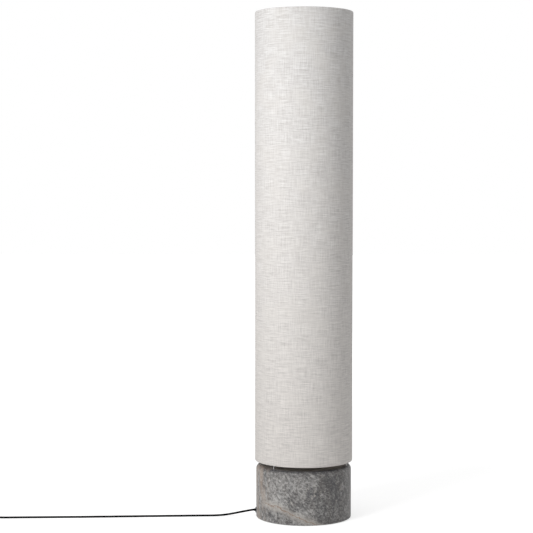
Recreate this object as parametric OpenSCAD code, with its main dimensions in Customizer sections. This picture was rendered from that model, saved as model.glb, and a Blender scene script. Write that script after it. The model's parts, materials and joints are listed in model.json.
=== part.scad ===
// Column floor lamp: a tall linen shade standing over a drum of grey stone, with
// a thin black lead that leaves low on the left side of the stone.
// Millimetres. Z is up, the floor is z = 0, the axis of the lamp is x = y = 0,
// the front is -Y, and the lead leaves towards -X.

/* [Stone drum] */
// Diameter of the stone drum
stone_d = 227; // [219:1:236]
// Height of the stone drum
stone_h = 126; // [110:1:160]
// Radius of the rounded top edge
stone_top_arris = 8; // [5:0.5:11]
// Radius of the eased bottom edge
stone_foot_arris = 2; // [1:0.5:4]
// Diameter of the wiring hollow in the underside
hollow_d = 120; // [112:1:126]
// Height of the wiring hollow above its cover
hollow_h = 30; // [28:1:45]

/* [Felt pad and cover plate] */
// How far the felt pad stops short of the stone's edge
felt_inset = 11; // [8:1:20]
// Thickness of the felt pad
felt_t = 3; // [2:0.5:5]
// How far the felt stands below the stone
felt_proud = 1; // [0.5:0.25:1.5]
// How far the steel cover plate laps over the stone round the hollow
cover_lap = 13; // [11:0.5:18]
// Thickness of the cover plate
cover_t = 2; // [2:0.25:3]
// Thread diameter of the cover screws
cover_screw_d = 4; // [3:0.5:5]
// Number of cover screws
cover_screws_n = 3; // [3:1:6]
// Length of the brass inserts in the stone
insert_l = 10; // [8:1:14]

/* [Shade] */
// How far the shade stands out past the stone, all round
shade_overhang = 2.5; // [1:0.25:8]
// Height of the shade
shade_h = 1063; // [1000:1:1200]
// Open gap between the stone and the shade
shade_gap = 10; // [6:0.5:14]
// Thickness of the linen
linen_t = 1; // [0.8:0.1:1.4]
// Thickness of the stiff white lining
lining_t = 0.7; // [0.5:0.1:1.2]
// Depth of the turned-in linen hem
hem_w = 14; // [10:1:20]

/* [Shade frame] */
// Diameter of the ring wire
ring_wire_d = 4; // [3.5:0.25:5]
// Diameter of the spider arms
spider_wire_d = 3; // [2.5:0.25:3.25]
// Number of spider arms, lugs and locating pins
arms_n = 3; // [3:1:4]
// Direction of the first arm, from the front towards the right
arm_turn = -44; // [-60:1:60]
// How far the spider hub sits below the top rim
spider_drop = 24; // [22:1:40]
// Diameter of the spider hub
hub_d = 30; // [26:1:36]
// Thickness of the spider hub
hub_t = 4; // [4:0.5:6]
// Width of the lugs on the bottom ring
lug_w = 12; // [9:1:16]
// Thickness of the lugs
lug_t = 2; // [1.5:0.25:2.5]

/* [Stem] */
// Outer diameter of the stem
stem_d = 16; // [15:0.5:20]
// Wall of the stem
stem_wall = 1.5; // [1:0.25:2]
// Diameter of the threaded nipple through the stone
nipple_d = 13; // [11:0.5:14]
// Bore of the nipple
nipple_bore = 8.5; // [7:0.5:9]
// Diameter of the foot plate on the stone
foot_d = 120; // [90:1:150]
// Thickness of the foot plate
foot_t = 4; // [3:0.5:6]
// Height of the stem socket on the foot plate
socket_h = 22; // [18:1:30]
// Thread diameter of the stud that carries the finial
stud_d = 6; // [5:0.5:8]
// Length of the stud above the spider hub
stud_l = 12; // [10:1:14]

/* [Lamp holders] */
// Height of the lower holder bracket above the stone
lower_holder_h = 200; // [150:1:300]
// Height of the upper holder bracket above the stone
upper_holder_h = 710; // [600:1:780]
// Air between the stem and a bulb's globe
bulb_stem_gap = 4; // [3:0.5:10]
// Outer diameter of the holder shell
holder_d = 39; // [37:1:44]
// Height of the holder base
holder_base_h = 20; // [18:1:26]
// Height of the holder shell
holder_shell_h = 32; // [28:1:36]

/* [Bulbs] */
// Diameter of the bulb's screw cap
bulb_cap_d = 26.2; // [26:0.1:26.6]
// Diameter of the bulb's globe
bulb_d = 60; // [50:1:64]
// Length of the bulb above its holder
bulb_rise = 76; // [66:1:90]

/* [Lead] */
// Diameter of the lead
cord_d = 4.8; // [4.4:0.2:5]
// Height of the lead's hole above the floor
exit_z = 15.2; // [14:0.2:18]
// Diameter of the gland's flange
gland_flange_d = 13.5; // [12.5:0.5:17]
// Thickness of the gland's flange
gland_flange_t = 2.4; // [1.6:0.2:2.8]
// Diameter of the gland's hole in the stone
gland_hole_d = 9.2; // [8.6:0.2:11]

/* [Foot switch] */
// Length of the foot switch
switch_l = 100; // [90:1:110]
// Width of the foot switch
switch_w = 36; // [35:1:40]
// Height of the foot switch without its button
switch_h = 22; // [21:0.5:26]
// Diameter of the switch button
button_d = 24; // [18:1:25]
// Travel of the switch button
button_travel = 3; // [2:0.5:3]

/* [Plug] */
// Length of the plug body
plug_l = 36; // [32:1:42]
// Width of the plug body
plug_w = 33; // [30:1:36]
// Thickness of the plug body
plug_t = 13.6; // [12:0.2:15]
// Diameter of the plug pins
pin_d = 4; // [3.8:0.1:4.2]
// Length of the plug pins
pin_l = 19; // [17:1:20]
// Spacing of the plug pins
pin_pitch = 18.6; // [17:0.2:20]

/* [Hidden] */
$fn = 72;

// Clearances: seat for glued, pressed and threaded fits, play between pieces that move
seat = 0.1;
play = 0.3;

// Heights of the stack, from the floor up
stone_z0 = felt_proud;
stone_z1 = stone_z0 + stone_h;
cover_z1 = felt_t + cover_t;
hollow_z1 = cover_z1 + hollow_h;
shade_z0 = stone_z1 + shade_gap;
shade_z1 = shade_z0 + shade_h;
hub_z1 = shade_z1 - spider_drop;
hub_z0 = hub_z1 - hub_t;

// Radii of the shade wall, from the linen inwards
shade_r = stone_d / 2 + shade_overhang;
lining_ro = shade_r - linen_t - seat;
lining_ri = lining_ro - lining_t;
ring_r = lining_ri - seat - ring_wire_d / 2;
hem_ro = ring_r - ring_wire_d / 2 - seat;
hem_ri = hem_ro - linen_t;
tuck_ro = lining_ri - seat;
tuck_ri = tuck_ro - linen_t;
ring_inset = linen_t + seat + ring_wire_d / 2;
tuck_drop = 5;
hem_corner = linen_t * 0.6;
arm_azimuths = [for (i = [0:arms_n - 1]) arm_turn + i * 360 / arms_n];
pin_inset = 2.5;
pin_circle_r = stone_d / 2 - stone_top_arris - pin_inset;
lug_z0 = shade_z0 + ring_inset - lug_t / 2;

// Stone, its pads and fixings
felt_d = stone_d - 2 * felt_inset;
felt_play = 0.5;
cover_d = hollow_d + 2 * cover_lap;
cover_screw_r = (hollow_d + cover_lap) / 2;
cover_head_d = cover_screw_d * 2;
insert_d = cover_screw_d + 2.4;
pin_shank_d = 5;
pin_shank_l = 12;
pin_body_d = 4;
pin_tip_d = 3;
pin_tip_rise = 3;

// Lead where the stone holds it
gland_seat_x = stone_d / 2 - 0.5;
gland_barrel_l = 24;
gland_nose_l = 4;
gland_nose_d = 7;
exit_x = -(gland_seat_x + gland_flange_t + gland_nose_l);
anchor_inset = 8;
anchor_l = 8;
anchor_x0 = anchor_inset - hollow_d / 2;
anchor_w = 22;
anchor_cap = 3;
anchor_h = exit_z + cord_d / 2 + anchor_cap - cover_z1;
anchor_screw_d = 2.6;
anchor_screw_y = 8;
anchor_screw_z = 1;
anchor_head_h = 1.6;
block_l = 22;
block_w = 18;
block_rise = 5;
terminal_screw_d = 4;
terminal_screw_h = 5;
terminal_slot_w = 0.8;
terminal_slot_h = 1;
terminal_row = 12;
terminal_pitch = 9;
wires_d = 4;

// Stem and foot
gasket_t = 1;
foot_z0 = stone_z1 + gasket_t;
socket_z0 = foot_z0 + foot_t + 4;
socket_z1 = foot_z0 + foot_t + socket_h;
boss_d = stem_d + 12;
stem_z0 = socket_z0;
cap_head_h = 6;
cap_plug_l = 15;
stem_z1 = hub_z0 - cap_head_h;
nipple_hole_d = nipple_d + 1;
washer_d = 40;
washer_t = 3;
nut_af = nipple_d + 9;
nut_h = 8;
nipple_z0 = hollow_z1 - washer_t - nut_h;
wires_bend_r = nipple_z0 - exit_z;
grub_d = 4;
grub_key_af = 2;
grub_sunk = 1;

// Lamp holders
lower_z = stone_z1 + lower_holder_h;
upper_z = stone_z1 + upper_holder_h;
bracket_t = 3;
bracket_w = 16;
collar_d = stem_d + 10;
collar_h = 12;
collar_drop = collar_h - bracket_t;
bracket_head_d = 7.2;
bracket_head_h = 3;
holder_offset = (stem_d + bulb_d) / 2 + bulb_stem_gap;
holder_nipple_d = 10;
holder_nipple_bore = 6;
holder_nipple_out = 1;
holder_nut_h = 4;
holder_nut_af = 14;
lead_d = 3.5;
lead_drop = 20;
lead_bend_r = 10;
holder_wall = 4;
holder_foot_d = holder_d - 11;
holder_rim_w = 1.5;
holder_rim_h = 4;
holder_rim_z = 18;
socket_ri = bulb_cap_d / 2 + play;
contact_t = 4;
contact_z = holder_base_h - contact_t;
contact_disc_t = 4;
contact_d = 9;
bulb_tip_z = contact_z + contact_t + play;
bulb_tip_h = 3;
holder_top = holder_base_h + holder_shell_h;
bulb_neck_z = holder_top + play;
bulb_neck_r = bulb_cap_d / 2 + 0.9;
bulb_neck_h = 4;
globe_r = bulb_d / 2;
globe_z = holder_top + bulb_rise - globe_r;
globe_cut = globe_z - 0.45 * globe_r;
globe_cut_r = sqrt(pow(globe_r, 2) - pow(globe_z - globe_cut, 2));

// Finial
finial_d = 16;
finial_washer_t = 1;
finial_z0 = hub_z1 + finial_washer_t;
finial_h = stud_l + 6;

// Foot switch: its place on the lead, and its inside
switch_x1 = -780;
switch_x0 = switch_x1 - switch_l;
switch_mid_x = (switch_x0 + switch_x1) / 2;
switch_y = -28;
switch_cord_z = 8;
switch_wall = 2;
switch_split = switch_h / 2;
switch_step = 2;
relief_l = 20;
relief_d = 8;
relief_in = 4;
board_z = 5;
board_t = 1.6;
button_flange_t = 2;
button_flange_d = button_d + 3;
button_rise = button_travel + 0.5;
flange_z1 = switch_h - switch_wall;
spring_z0 = board_z + board_t;
spring_z1 = flange_z1 - button_flange_t;
spring_r = 5;
spring_wire = 0.9;
spring_turns = 5;
switch_screw_x = switch_l / 2 - switch_w / 2;
switch_screw_d = 3;

// The free lead's route from inside the gland to the switch: x, y and height
route_z = cord_d / 2;
run_points = [
    [-gland_seat_x, 0, exit_z], [-gland_seat_x - 3, 0, exit_z], [exit_x, 0, exit_z],
    [-129, 0, 13.9], [-142, 0, 11.5], [-157, -1, 8.8], [-171, -2, 6.3], [-185, -3, 4.3],
    [-200, -4, 3], [-217, -5, route_z], [-240, -6, route_z], [-268, -7, route_z],
    [-296, -9, route_z], [-324, -10, route_z], [-352, -12, route_z], [-380, -13, route_z],
    [-408, -15, route_z], [-436, -16, route_z], [-464, -18, route_z], [-492, -19, route_z],
    [-520, -21, route_z], [-548, -22, route_z], [-576, -23, route_z], [-604, -24, route_z],
    [-632, -25, route_z], [-660, -26, route_z], [-688, -27, route_z], [-714, -28, route_z],
    [-728, -28, 3], [-739, -28, 4.6], [-747, -28, 6.9],
    [switch_x1 + relief_l + 6, switch_y, switch_cord_z],
    [switch_x1 + relief_l + 3, switch_y, switch_cord_z],
    [switch_x1 + relief_l, switch_y, switch_cord_z]
];

// The coil that the rest of the lead is wound into, behind the switch
coil_r0 = 21.5;
coil_play = 0.6;
coil_pitch = cord_d + coil_play;
coil_layers = 4;
coil_turns = 2.375;
coil_r1 = coil_r0 + coil_turns * coil_pitch;
coil_x = switch_x0 - relief_l - 37;
coil_y = switch_y - coil_r1;
coil_steps = 24;
coil_total = coil_layers * coil_turns;
coil_z1 = route_z + (coil_layers - 1) * coil_pitch;
lead_points = [
    [switch_x0 - relief_l, switch_y, switch_cord_z],
    [switch_x0 - relief_l - 5, switch_y, switch_cord_z],
    [switch_x0 - relief_l - 14, switch_y, switch_cord_z - 2.2],
    [switch_x0 - relief_l - 23, switch_y, route_z + 0.5],
    [coil_x + cord_d + 4, switch_y, route_z],
    [coil_x + cord_d, switch_y, route_z]
];

// Plug: it lies flat beside the switch, with its pins towards +X
tail_l = 56;
plug_neck_l = 20;
plug_neck_d = 8;
plug_y = coil_y - coil_r1;
plug_x0 = coil_x + tail_l + plug_neck_l;
plug_z = plug_t / 2;
plug_shoulder = plug_l * 0.55;
sleeve_step = 0.4;
sleeve_d = pin_d - sleeve_step;
sleeve_l = 10;
pin_tip_l = 1;
pin_tip_taper = 1.4;
tail_points = [
    [coil_x + cord_d, plug_y, coil_z1],
    [coil_x + cord_d + 6, plug_y, coil_z1],
    [coil_x + 22, plug_y, coil_z1 - 1.6],
    [coil_x + 33, plug_y, plug_z + 5],
    [coil_x + 44, plug_y, plug_z + 1],
    [coil_x + tail_l - 4, plug_y, plug_z],
    [coil_x + tail_l, plug_y, plug_z]
];

// Colours, as the photograph shows them
linen_colour = [0.85, 0.84, 0.82];
stone_colour = [0.47, 0.46, 0.45];
black = [0.06, 0.06, 0.07];
steel = [0.72, 0.72, 0.73];
dark_steel = [0.2, 0.2, 0.21];
brass = [0.78, 0.62, 0.32];
white = [0.93, 0.93, 0.91];
felt_colour = [0.16, 0.16, 0.17];

// ---- shared shapes ----

function polar(r, azimuth, z) = [r * sin(azimuth), -r * cos(azimuth), z];

// A straight rod of diameter d from point a to point b
module rod(a, b, d) {
    v = b - a;
    translate(a) rotate([0, acos(v.z / norm(v)), atan2(v.y, v.x)]) cylinder(h = norm(v), d = d);
}

// A ring of round wire about the Z axis
module wire_ring(r, wire) {
    rotate_extrude() translate([r, 0]) circle(d = wire);
}

// A plain tube about the Z axis
module tube(d_out, d_in, h) {
    difference() {
        cylinder(h = h, d = d_out);
        translate([0, 0, -1]) cylinder(h = h + 2, d = d_in);
    }
}

// A hexagon nut across flats af, bored
module hex_nut(af, bore, h) {
    difference() {
        cylinder(h = h, d = af / cos(30), $fn = 6);
        translate([0, 0, -1]) cylinder(h = h + 2, d = bore);
    }
}

// Half section of a drum with a rounded top edge and an eased foot
module drum_section(r, h, top, foot) {
    union() {
        square([r - top, h]);
        translate([0, foot]) square([r, h - top - foot]);
        square([r - foot, h - top]);
        translate([r - top, h - top]) circle(r = top);
        translate([r - foot, foot]) circle(r = foot);
    }
}

// A flat outline with two round ends, long along X
module stadium(l, w) {
    union() {
        square([l - w, w], center = true);
        for (s = [-1, 1]) translate([s * (l - w) / 2, 0]) circle(d = w);
    }
}

// Places a child at each arm, turned so that its own -Y looks outwards
module at_arms() {
    for (a = arm_azimuths) rotate([0, 0, a]) children();
}

// ---- tubes along a route ----

function catmull(p0, p1, p2, p3, t) =
    0.5 * (2 * p1 + (p2 - p0) * t + (2 * p0 - 5 * p1 + 4 * p2 - p3) * t * t
        + (3 * p1 - p0 - 3 * p2 + p3) * t * t * t);

// The route's own points with steps - 1 more between each two
function smooth_route(p, steps) =
    let (n = len(p) - 1)
    [for (i = [0:n - 1]) for (k = [0:steps - 1])
        catmull(p[max(i - 1, 0)], p[i], p[i + 1], p[min(i + 2, n)], k / steps), p[n]];

function unit(v) = v / norm(v);

function heading(p, i) =
    i == 0 ? unit(p[1] - p[0])
    : i == len(p) - 1 ? unit(p[i] - p[i - 1])
    : unit(unit(p[i + 1] - p[i]) + unit(p[i] - p[i - 1]));

// A closed tube of diameter d along the points p, which never run straight up
module swept_tube(p, d, sides) {
    n = len(p);
    rings = [for (i = [0:n - 1])
        let (t = heading(p, i), side = unit(cross(t, [0, 0, 1])), up = cross(side, t))
        for (k = [0:sides - 1])
            p[i] + d / 2 * (cos(360 * k / sides) * side + sin(360 * k / sides) * up)];
    walls = [for (i = [0:n - 2]) for (k = [0:sides - 1])
        let (a = i * sides + k, b = i * sides + (k + 1) % sides)
        for (f = [[a, b, b + sides], [a, b + sides, a + sides]]) f];
    ends = [[for (k = [sides - 1:-1:0]) k], [for (k = [0:sides - 1]) (n - 1) * sides + k]];
    polyhedron(points = rings, faces = concat(walls, ends), convexity = 10);
}

// ---- the coil's line ----

function smooth_step(t) = let (c = min(1, max(0, t))) c * c * (3 - 2 * c);

// Radius after so many turns: inwards, outwards, inwards, outwards
function coil_radius(turn) =
    let (layer = floor(turn / coil_turns), in = turn - layer * coil_turns)
    layer % 2 == 0 ? coil_r1 - in * coil_pitch : coil_r0 + in * coil_pitch;

// Height after so many turns: one layer up in the half turn round each reversal
function coil_height(turn) =
    route_z + coil_pitch * (smooth_step((turn - coil_turns) * 2 + 0.5)
        + smooth_step((turn - 2 * coil_turns) * 2 + 0.5)
        + smooth_step((turn - 3 * coil_turns) * 2 + 0.5));

function coil_point(turn) =
    let (a = 90 + 360 * turn, r = coil_radius(min(turn, coil_total - 0.0001)))
    [coil_x + r * cos(a), coil_y + r * sin(a), coil_height(turn)];

coil_n = round(coil_total * coil_steps);
coil_points = concat(
    [[coil_x + cord_d, coil_y + coil_r1, route_z]],
    [for (i = [0:coil_n]) coil_point(i * coil_total / coil_n)],
    [[coil_x + cord_d, plug_y, coil_z1]]
);

// Least distance between the coil's line and its own later turns, less the lead's diameter
coil_gap = min([for (i = [0:coil_n]) for (j = [i + 12:coil_n])
    norm(coil_points[i] - coil_points[j])]) - cord_d;
echo(coil_least_gap = coil_gap);

// ---- the switch spring's line ----

spring_steps = 8;
spring_n = spring_turns * spring_steps;
spring_rise = spring_z1 - spring_z0 - spring_wire - 2 * seat;
spring_points = [for (i = [0:spring_n]) [
    spring_r * cos(360 * i / spring_steps), spring_r * sin(360 * i / spring_steps),
    spring_z0 + seat + spring_wire / 2 + spring_rise * i / spring_n
]];
echo(spring_least_gap = spring_rise / spring_turns - spring_wire);

// ---- stone drum and what is under it ----

module stone_base() {
    color(stone_colour) difference() {
        translate([0, 0, stone_z0]) rotate_extrude()
            drum_section(stone_d / 2, stone_h, stone_top_arris, stone_foot_arris);
        translate([0, 0, -1]) cylinder(h = felt_t + 1, d = felt_d + 2 * felt_play);
        cylinder(h = cover_z1, d = cover_d + 2 * seat);
        cylinder(h = hollow_z1, d = hollow_d);
        cylinder(h = stone_z1 + 1, d = nipple_hole_d);
        at_cover_screws() translate([0, 0, cover_z1 - 1])
            cylinder(h = insert_l + 1 + seat, d = insert_d + 2 * seat);
        at_arms() translate([0, -pin_circle_r, stone_z1 - pin_shank_l - seat])
            cylinder(h = pin_shank_l + 1, d = pin_shank_d + 2 * seat);
        along_exit(hollow_d / 2 - 10) cylinder(h = stone_d / 2, d = gland_hole_d);
        along_exit(gland_seat_x) cylinder(h = stone_d / 2, d = gland_flange_d + 1);
    }
}

// Looks along the lead's hole, from x inwards of the exit outwards
module along_exit(x) {
    translate([-x, 0, exit_z]) rotate([0, -90, 0]) children();
}

module at_cover_screws() {
    for (i = [0:cover_screws_n - 1])
        rotate([0, 0, 90 + i * 360 / cover_screws_n]) translate([cover_screw_r, 0, 0]) children();
}

module felt_pad() {
    color(felt_colour) cylinder(h = felt_t, d = felt_d);
}

module cover_plate() {
    color(steel) difference() {
        translate([0, 0, felt_t]) cylinder(h = cover_t, d = cover_d);
        at_cover_screws() translate([0, 0, felt_t - seat])
            cylinder(h = cover_t + 2 * seat, d1 = cover_head_d + 4 * seat, d2 = cover_screw_d + 2 * seat);
    }
}

module cover_screws() {
    color(steel) at_cover_screws() translate([0, 0, felt_t]) union() {
        cylinder(h = cover_t, d1 = cover_head_d, d2 = cover_screw_d - seat);
        cylinder(h = cover_t + insert_l - 1, d = cover_screw_d - seat);
    }
}

module stone_inserts() {
    color(brass) at_cover_screws() translate([0, 0, cover_z1])
        tube(insert_d, cover_screw_d + seat, insert_l);
}

// ---- wiring in the hollow ----

module cord_anchor() {
    color(white) difference() {
        translate([anchor_x0, -anchor_w / 2, cover_z1]) cube([anchor_l, anchor_w, anchor_h]);
        translate([anchor_x0 - 1, -anchor_w / 2 - 1, exit_z - seat])
            cube([anchor_l + 2, anchor_w + 2, 2 * seat]);
        translate([anchor_x0 - 1, 0, exit_z]) rotate([0, 90, 0])
            cylinder(h = anchor_l + 2, d = cord_d + 2 * seat);
        at_anchor_screws() cylinder(h = anchor_h, d = anchor_screw_d + 2 * seat);
    }
}

module at_anchor_screws() {
    for (s = [-1, 1])
        translate([anchor_x0 + anchor_l / 2, s * anchor_screw_y, cover_z1 + anchor_screw_z]) children();
}

module anchor_screws() {
    shank_l = anchor_h - anchor_screw_z;
    color(steel) at_anchor_screws() union() {
        cylinder(h = shank_l, d = anchor_screw_d);
        translate([0, 0, shank_l]) cylinder(h = anchor_head_h, d = anchor_screw_d * 1.9);
    }
}

module at_terminals() {
    for (r = [-1, 1], s = [-1, 1])
        translate([r * terminal_row / 2 - wires_bend_r - block_l / 2, s * terminal_pitch / 2,
            exit_z + block_rise - terminal_screw_h]) children();
}

module terminal_block() {
    color(white) difference() {
        translate([-wires_bend_r - block_l, -block_w / 2, cover_z1])
            cube([block_l, block_w, exit_z + block_rise - cover_z1]);
        at_terminals() cylinder(h = terminal_screw_h + 1, d = terminal_screw_d + 2 * seat);
    }
}

module terminal_screws() {
    head_z = terminal_screw_h - 1;
    color(brass) at_terminals() difference() {
        cylinder(h = head_z, d = terminal_screw_d);
        translate([-terminal_screw_d, -terminal_slot_w / 2, head_z - terminal_slot_h])
            cube([2 * terminal_screw_d, terminal_slot_w, 2 * terminal_slot_h]);
    }
}

module inner_cord() {
    color(black) translate([-gland_seat_x, 0, exit_z]) rotate([0, 90, 0])
        cylinder(h = gland_seat_x - wires_bend_r - block_l, d = cord_d);
}

// The wires from the terminal block, round one bend and up the stem
module stem_wires() {
    top_z = upper_z - lead_drop + lead_d;
    color(white) union() {
        translate([-wires_bend_r, 0, exit_z + wires_bend_r]) rotate([90, 0, 0]) rotate([0, 0, -90])
            rotate_extrude(angle = 90) translate([wires_bend_r, 0]) circle(d = wires_d);
        translate([0, 0, exit_z + wires_bend_r]) cylinder(h = top_z - exit_z - wires_bend_r, d = wires_d);
    }
}

// ---- stem ----

module foot_gasket() {
    color(black) translate([0, 0, stone_z1]) tube(foot_d - 2, nipple_hole_d, gasket_t);
}

module foot_plate() {
    color(dark_steel) difference() {
        translate([0, 0, foot_z0]) union() {
            cylinder(h = foot_t, d = foot_d);
            cylinder(h = foot_t + socket_h, d = boss_d);
        }
        translate([0, 0, foot_z0 - 1]) cylinder(h = foot_t + socket_h, d = nipple_d + 2 * seat);
        translate([0, 0, socket_z0]) cylinder(h = socket_h + foot_t, d = stem_d + 2 * seat);
        grub_place() cylinder(h = boss_d, d = grub_d + 2 * seat);
    }
}

module grub_place() {
    translate([0, stem_d / 2 + seat, (socket_z0 + socket_z1) / 2]) rotate([-90, 0, 0]) children();
}

module stem_grub_screw() {
    grub_l = (boss_d - stem_d) / 2 - grub_sunk;
    key_l = grub_key_af;
    color(steel) grub_place() difference() {
        cylinder(h = grub_l, d = grub_d);
        translate([0, 0, grub_l - key_l]) cylinder(h = 2 * key_l, d = grub_key_af / cos(30), $fn = 6);
    }
}

module stem_nipple() {
    color(steel) translate([0, 0, nipple_z0]) tube(nipple_d, nipple_bore, socket_z0 - nipple_z0);
}

module clamp_washer() {
    color(steel) translate([0, 0, hollow_z1 - washer_t]) tube(washer_d, nipple_d + 2 * seat, washer_t);
}

module clamp_nut() {
    color(steel) translate([0, 0, hollow_z1 - washer_t - nut_h]) hex_nut(nut_af, nipple_d + 2 * seat, nut_h);
}

module stem_tube() {
    color(dark_steel) difference() {
        translate([0, 0, stem_z0]) tube(stem_d, stem_d - 2 * stem_wall, stem_z1 - stem_z0);
        for (h = [[-1, lower_z], [1, upper_z]]) translate([0, 0, h[1] - lead_drop])
            rotate([0, h[0] * 90, 0]) cylinder(h = stem_d, d = lead_d + 2);
    }
}

module stem_cap() {
    color(dark_steel) union() {
        translate([0, 0, stem_z1 - cap_plug_l])
            cylinder(h = cap_plug_l, d = stem_d - 2 * stem_wall - 2 * seat);
        translate([0, 0, stem_z1]) cylinder(h = cap_head_h, d = stem_d);
        translate([0, 0, hub_z0]) cylinder(h = hub_t + stud_l, d = stud_d);
    }
}

// ---- locating pins between the stone and the shade ----

module locating_pins() {
    color(steel) at_arms() translate([0, -pin_circle_r, 0]) union() {
        translate([0, 0, stone_z1 - pin_shank_l]) cylinder(h = pin_shank_l, d = pin_shank_d);
        translate([0, 0, stone_z1]) cylinder(h = lug_z0 - stone_z1, d = pin_body_d);
        translate([0, 0, lug_z0]) cylinder(h = lug_t + pin_tip_rise, d = pin_tip_d);
    }
}

// ---- lamp holders ----

// Places a child at the lower holder on the left or the upper holder on the right
module at_lower() {
    translate([0, 0, lower_z]) rotate([0, 0, 180]) children();
}

module at_upper() {
    translate([0, 0, upper_z]) children();
}

module at_both() {
    at_lower() children();
    at_upper() children();
}

module on_holder() {
    translate([holder_offset, 0, bracket_t]) children();
}

module bracket() {
    color(dark_steel) difference() {
        union() {
            translate([0, 0, -collar_drop]) cylinder(h = collar_h, d = collar_d);
            translate([0, -bracket_w / 2, 0]) cube([holder_offset, bracket_w, bracket_t]);
            translate([holder_offset, 0, 0]) cylinder(h = bracket_t, d = bracket_w);
        }
        translate([0, 0, -collar_h]) cylinder(h = 2 * collar_h, d = stem_d + 2 * seat);
        translate([holder_offset, 0, -1]) cylinder(h = bracket_t + 2, d = holder_nipple_d + 2 * seat);
        bracket_screw_place() cylinder(h = collar_d, d = grub_d + 2 * seat);
    }
}

module bracket_screw_place() {
    translate([0, stem_d / 2 + seat, -collar_drop / 2]) rotate([-90, 0, 0]) children();
}

module bracket_screws() {
    shank_l = (collar_d - stem_d) / 2;
    color(steel) at_both() bracket_screw_place() union() {
        cylinder(h = shank_l, d = grub_d);
        translate([0, 0, shank_l]) cylinder(h = bracket_head_h, d = bracket_head_d);
    }
}

// A black moulded cup with the threaded nipple that goes through the bracket
module holder_base() {
    nipple_l = bracket_t + holder_nut_h + holder_nipple_out;
    color(black) on_holder() difference() {
        union() {
            translate([0, 0, -nipple_l]) cylinder(h = nipple_l, d = holder_nipple_d);
            cylinder(h = holder_base_h / 2, d1 = holder_foot_d, d2 = holder_d);
            translate([0, 0, holder_base_h / 2]) cylinder(h = holder_base_h / 2, d = holder_d);
        }
        translate([0, 0, -nipple_l - 1]) cylinder(h = nipple_l + contact_z, d = holder_nipple_bore);
        translate([0, 0, contact_z - contact_disc_t])
            cylinder(h = holder_base_h, d = holder_d - 2 * holder_wall);
    }
}

module holder_shell() {
    color(black) on_holder() translate([0, 0, holder_base_h]) difference() {
        union() {
            cylinder(h = holder_shell_h, d = holder_d);
            translate([0, 0, holder_rim_z]) cylinder(h = holder_rim_h, d = holder_d + 2 * holder_rim_w);
        }
        translate([0, 0, -1]) cylinder(h = holder_shell_h + 2, r = socket_ri);
    }
}

module holder_contacts() {
    color(brass) at_both() on_holder() translate([0, 0, contact_z - contact_disc_t]) union() {
        cylinder(h = contact_disc_t, d = holder_d - 2 * holder_wall - 2 * seat);
        cylinder(h = contact_disc_t + contact_t, d = contact_d);
    }
}

module holder_nuts() {
    color(steel) at_both() translate([holder_offset, 0, -holder_nut_h])
        hex_nut(holder_nut_af, holder_nipple_d + 2 * seat, holder_nut_h);
}

// The lead from the stem's side hole, round a bend and up into the holder
module holder_leads() {
    bend_x = holder_offset - lead_bend_r;
    rise = contact_z - contact_disc_t + bracket_t + lead_drop - lead_bend_r - seat;
    color(white) at_both() union() {
        translate([wires_d / 2, 0, -lead_drop]) rotate([0, 90, 0])
            cylinder(h = bend_x - wires_d / 2, d = lead_d);
        translate([bend_x, 0, lead_bend_r - lead_drop]) rotate([90, 0, 0]) rotate([0, 0, -90])
            rotate_extrude(angle = 90) translate([lead_bend_r, 0]) circle(d = lead_d);
        translate([holder_offset, 0, lead_bend_r - lead_drop]) cylinder(h = rise, d = lead_d);
    }
}

// ---- bulbs ----

module bulb_cap() {
    shell_z = bulb_tip_z + bulb_tip_h;
    color(steel) on_holder() union() {
        translate([0, 0, bulb_tip_z]) cylinder(h = bulb_tip_h, d1 = contact_d, d2 = 2 * contact_d);
        translate([0, 0, shell_z]) cylinder(h = bulb_neck_z - shell_z, d = bulb_cap_d);
    }
}

module bulb_housing() {
    cone_h = globe_cut - bulb_neck_z - bulb_neck_h;
    color(white) on_holder() translate([0, 0, bulb_neck_z]) union() {
        cylinder(h = bulb_neck_h, r = bulb_neck_r);
        translate([0, 0, bulb_neck_h]) cylinder(h = cone_h, r1 = bulb_neck_r, r2 = globe_cut_r);
    }
}

module bulb_globe() {
    color(white) on_holder() intersection() {
        translate([0, 0, globe_z]) sphere(r = globe_r);
        translate([0, 0, globe_cut]) cylinder(h = 2 * globe_r, r = globe_r + 1);
    }
}

// ---- shade ----

// Half section of the linen's top edge: over the ring, down inside it and back to the lining.
// Heights are given downwards from the rim, and grow for the top edge with dir = -1.
function hem_points(rim, dir) =
    let (a = rim + dir * (ring_inset + ring_wire_d / 2 + seat))
    [
        [shade_r, rim + dir * hem_corner],
        [shade_r - hem_corner, rim],
        [hem_ri + hem_corner, rim],
        [hem_ri, rim + dir * hem_corner],
        [hem_ri, a],
        [tuck_ri, a + dir * tuck_drop],
        [tuck_ri, a + dir * hem_w],
        [tuck_ro, a + dir * hem_w],
        [tuck_ro, a + dir * tuck_drop],
        [hem_ro, a],
        [hem_ro, rim + dir * linen_t],
        [shade_r - linen_t, rim + dir * linen_t]
    ];

module shade_linen() {
    top = hem_points(shade_z1, -1);
    foot = hem_points(shade_z0, 1);
    leaf_r = hem_ro + seat;
    color(linen_colour) difference() {
        rotate_extrude() polygon(concat(top, [for (i = [len(foot) - 1:-1:0]) foot[i]]));
        at_arms() translate([-spider_wire_d / 2 - 1, -leaf_r, shade_z1 - linen_t - ring_wire_d - 3])
            cube([spider_wire_d + 2, 20, ring_wire_d + 3]);
        at_arms() translate([-lug_w / 2 - play, -leaf_r, lug_z0 - play])
            cube([lug_w + 2 * play, 20, lug_t + 2 * play]);
    }
}

module shade_lining() {
    rim = linen_t + seat;
    color(white) translate([0, 0, shade_z0 + rim])
        tube(2 * lining_ro, 2 * lining_ri, shade_h - 2 * rim);
}

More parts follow.
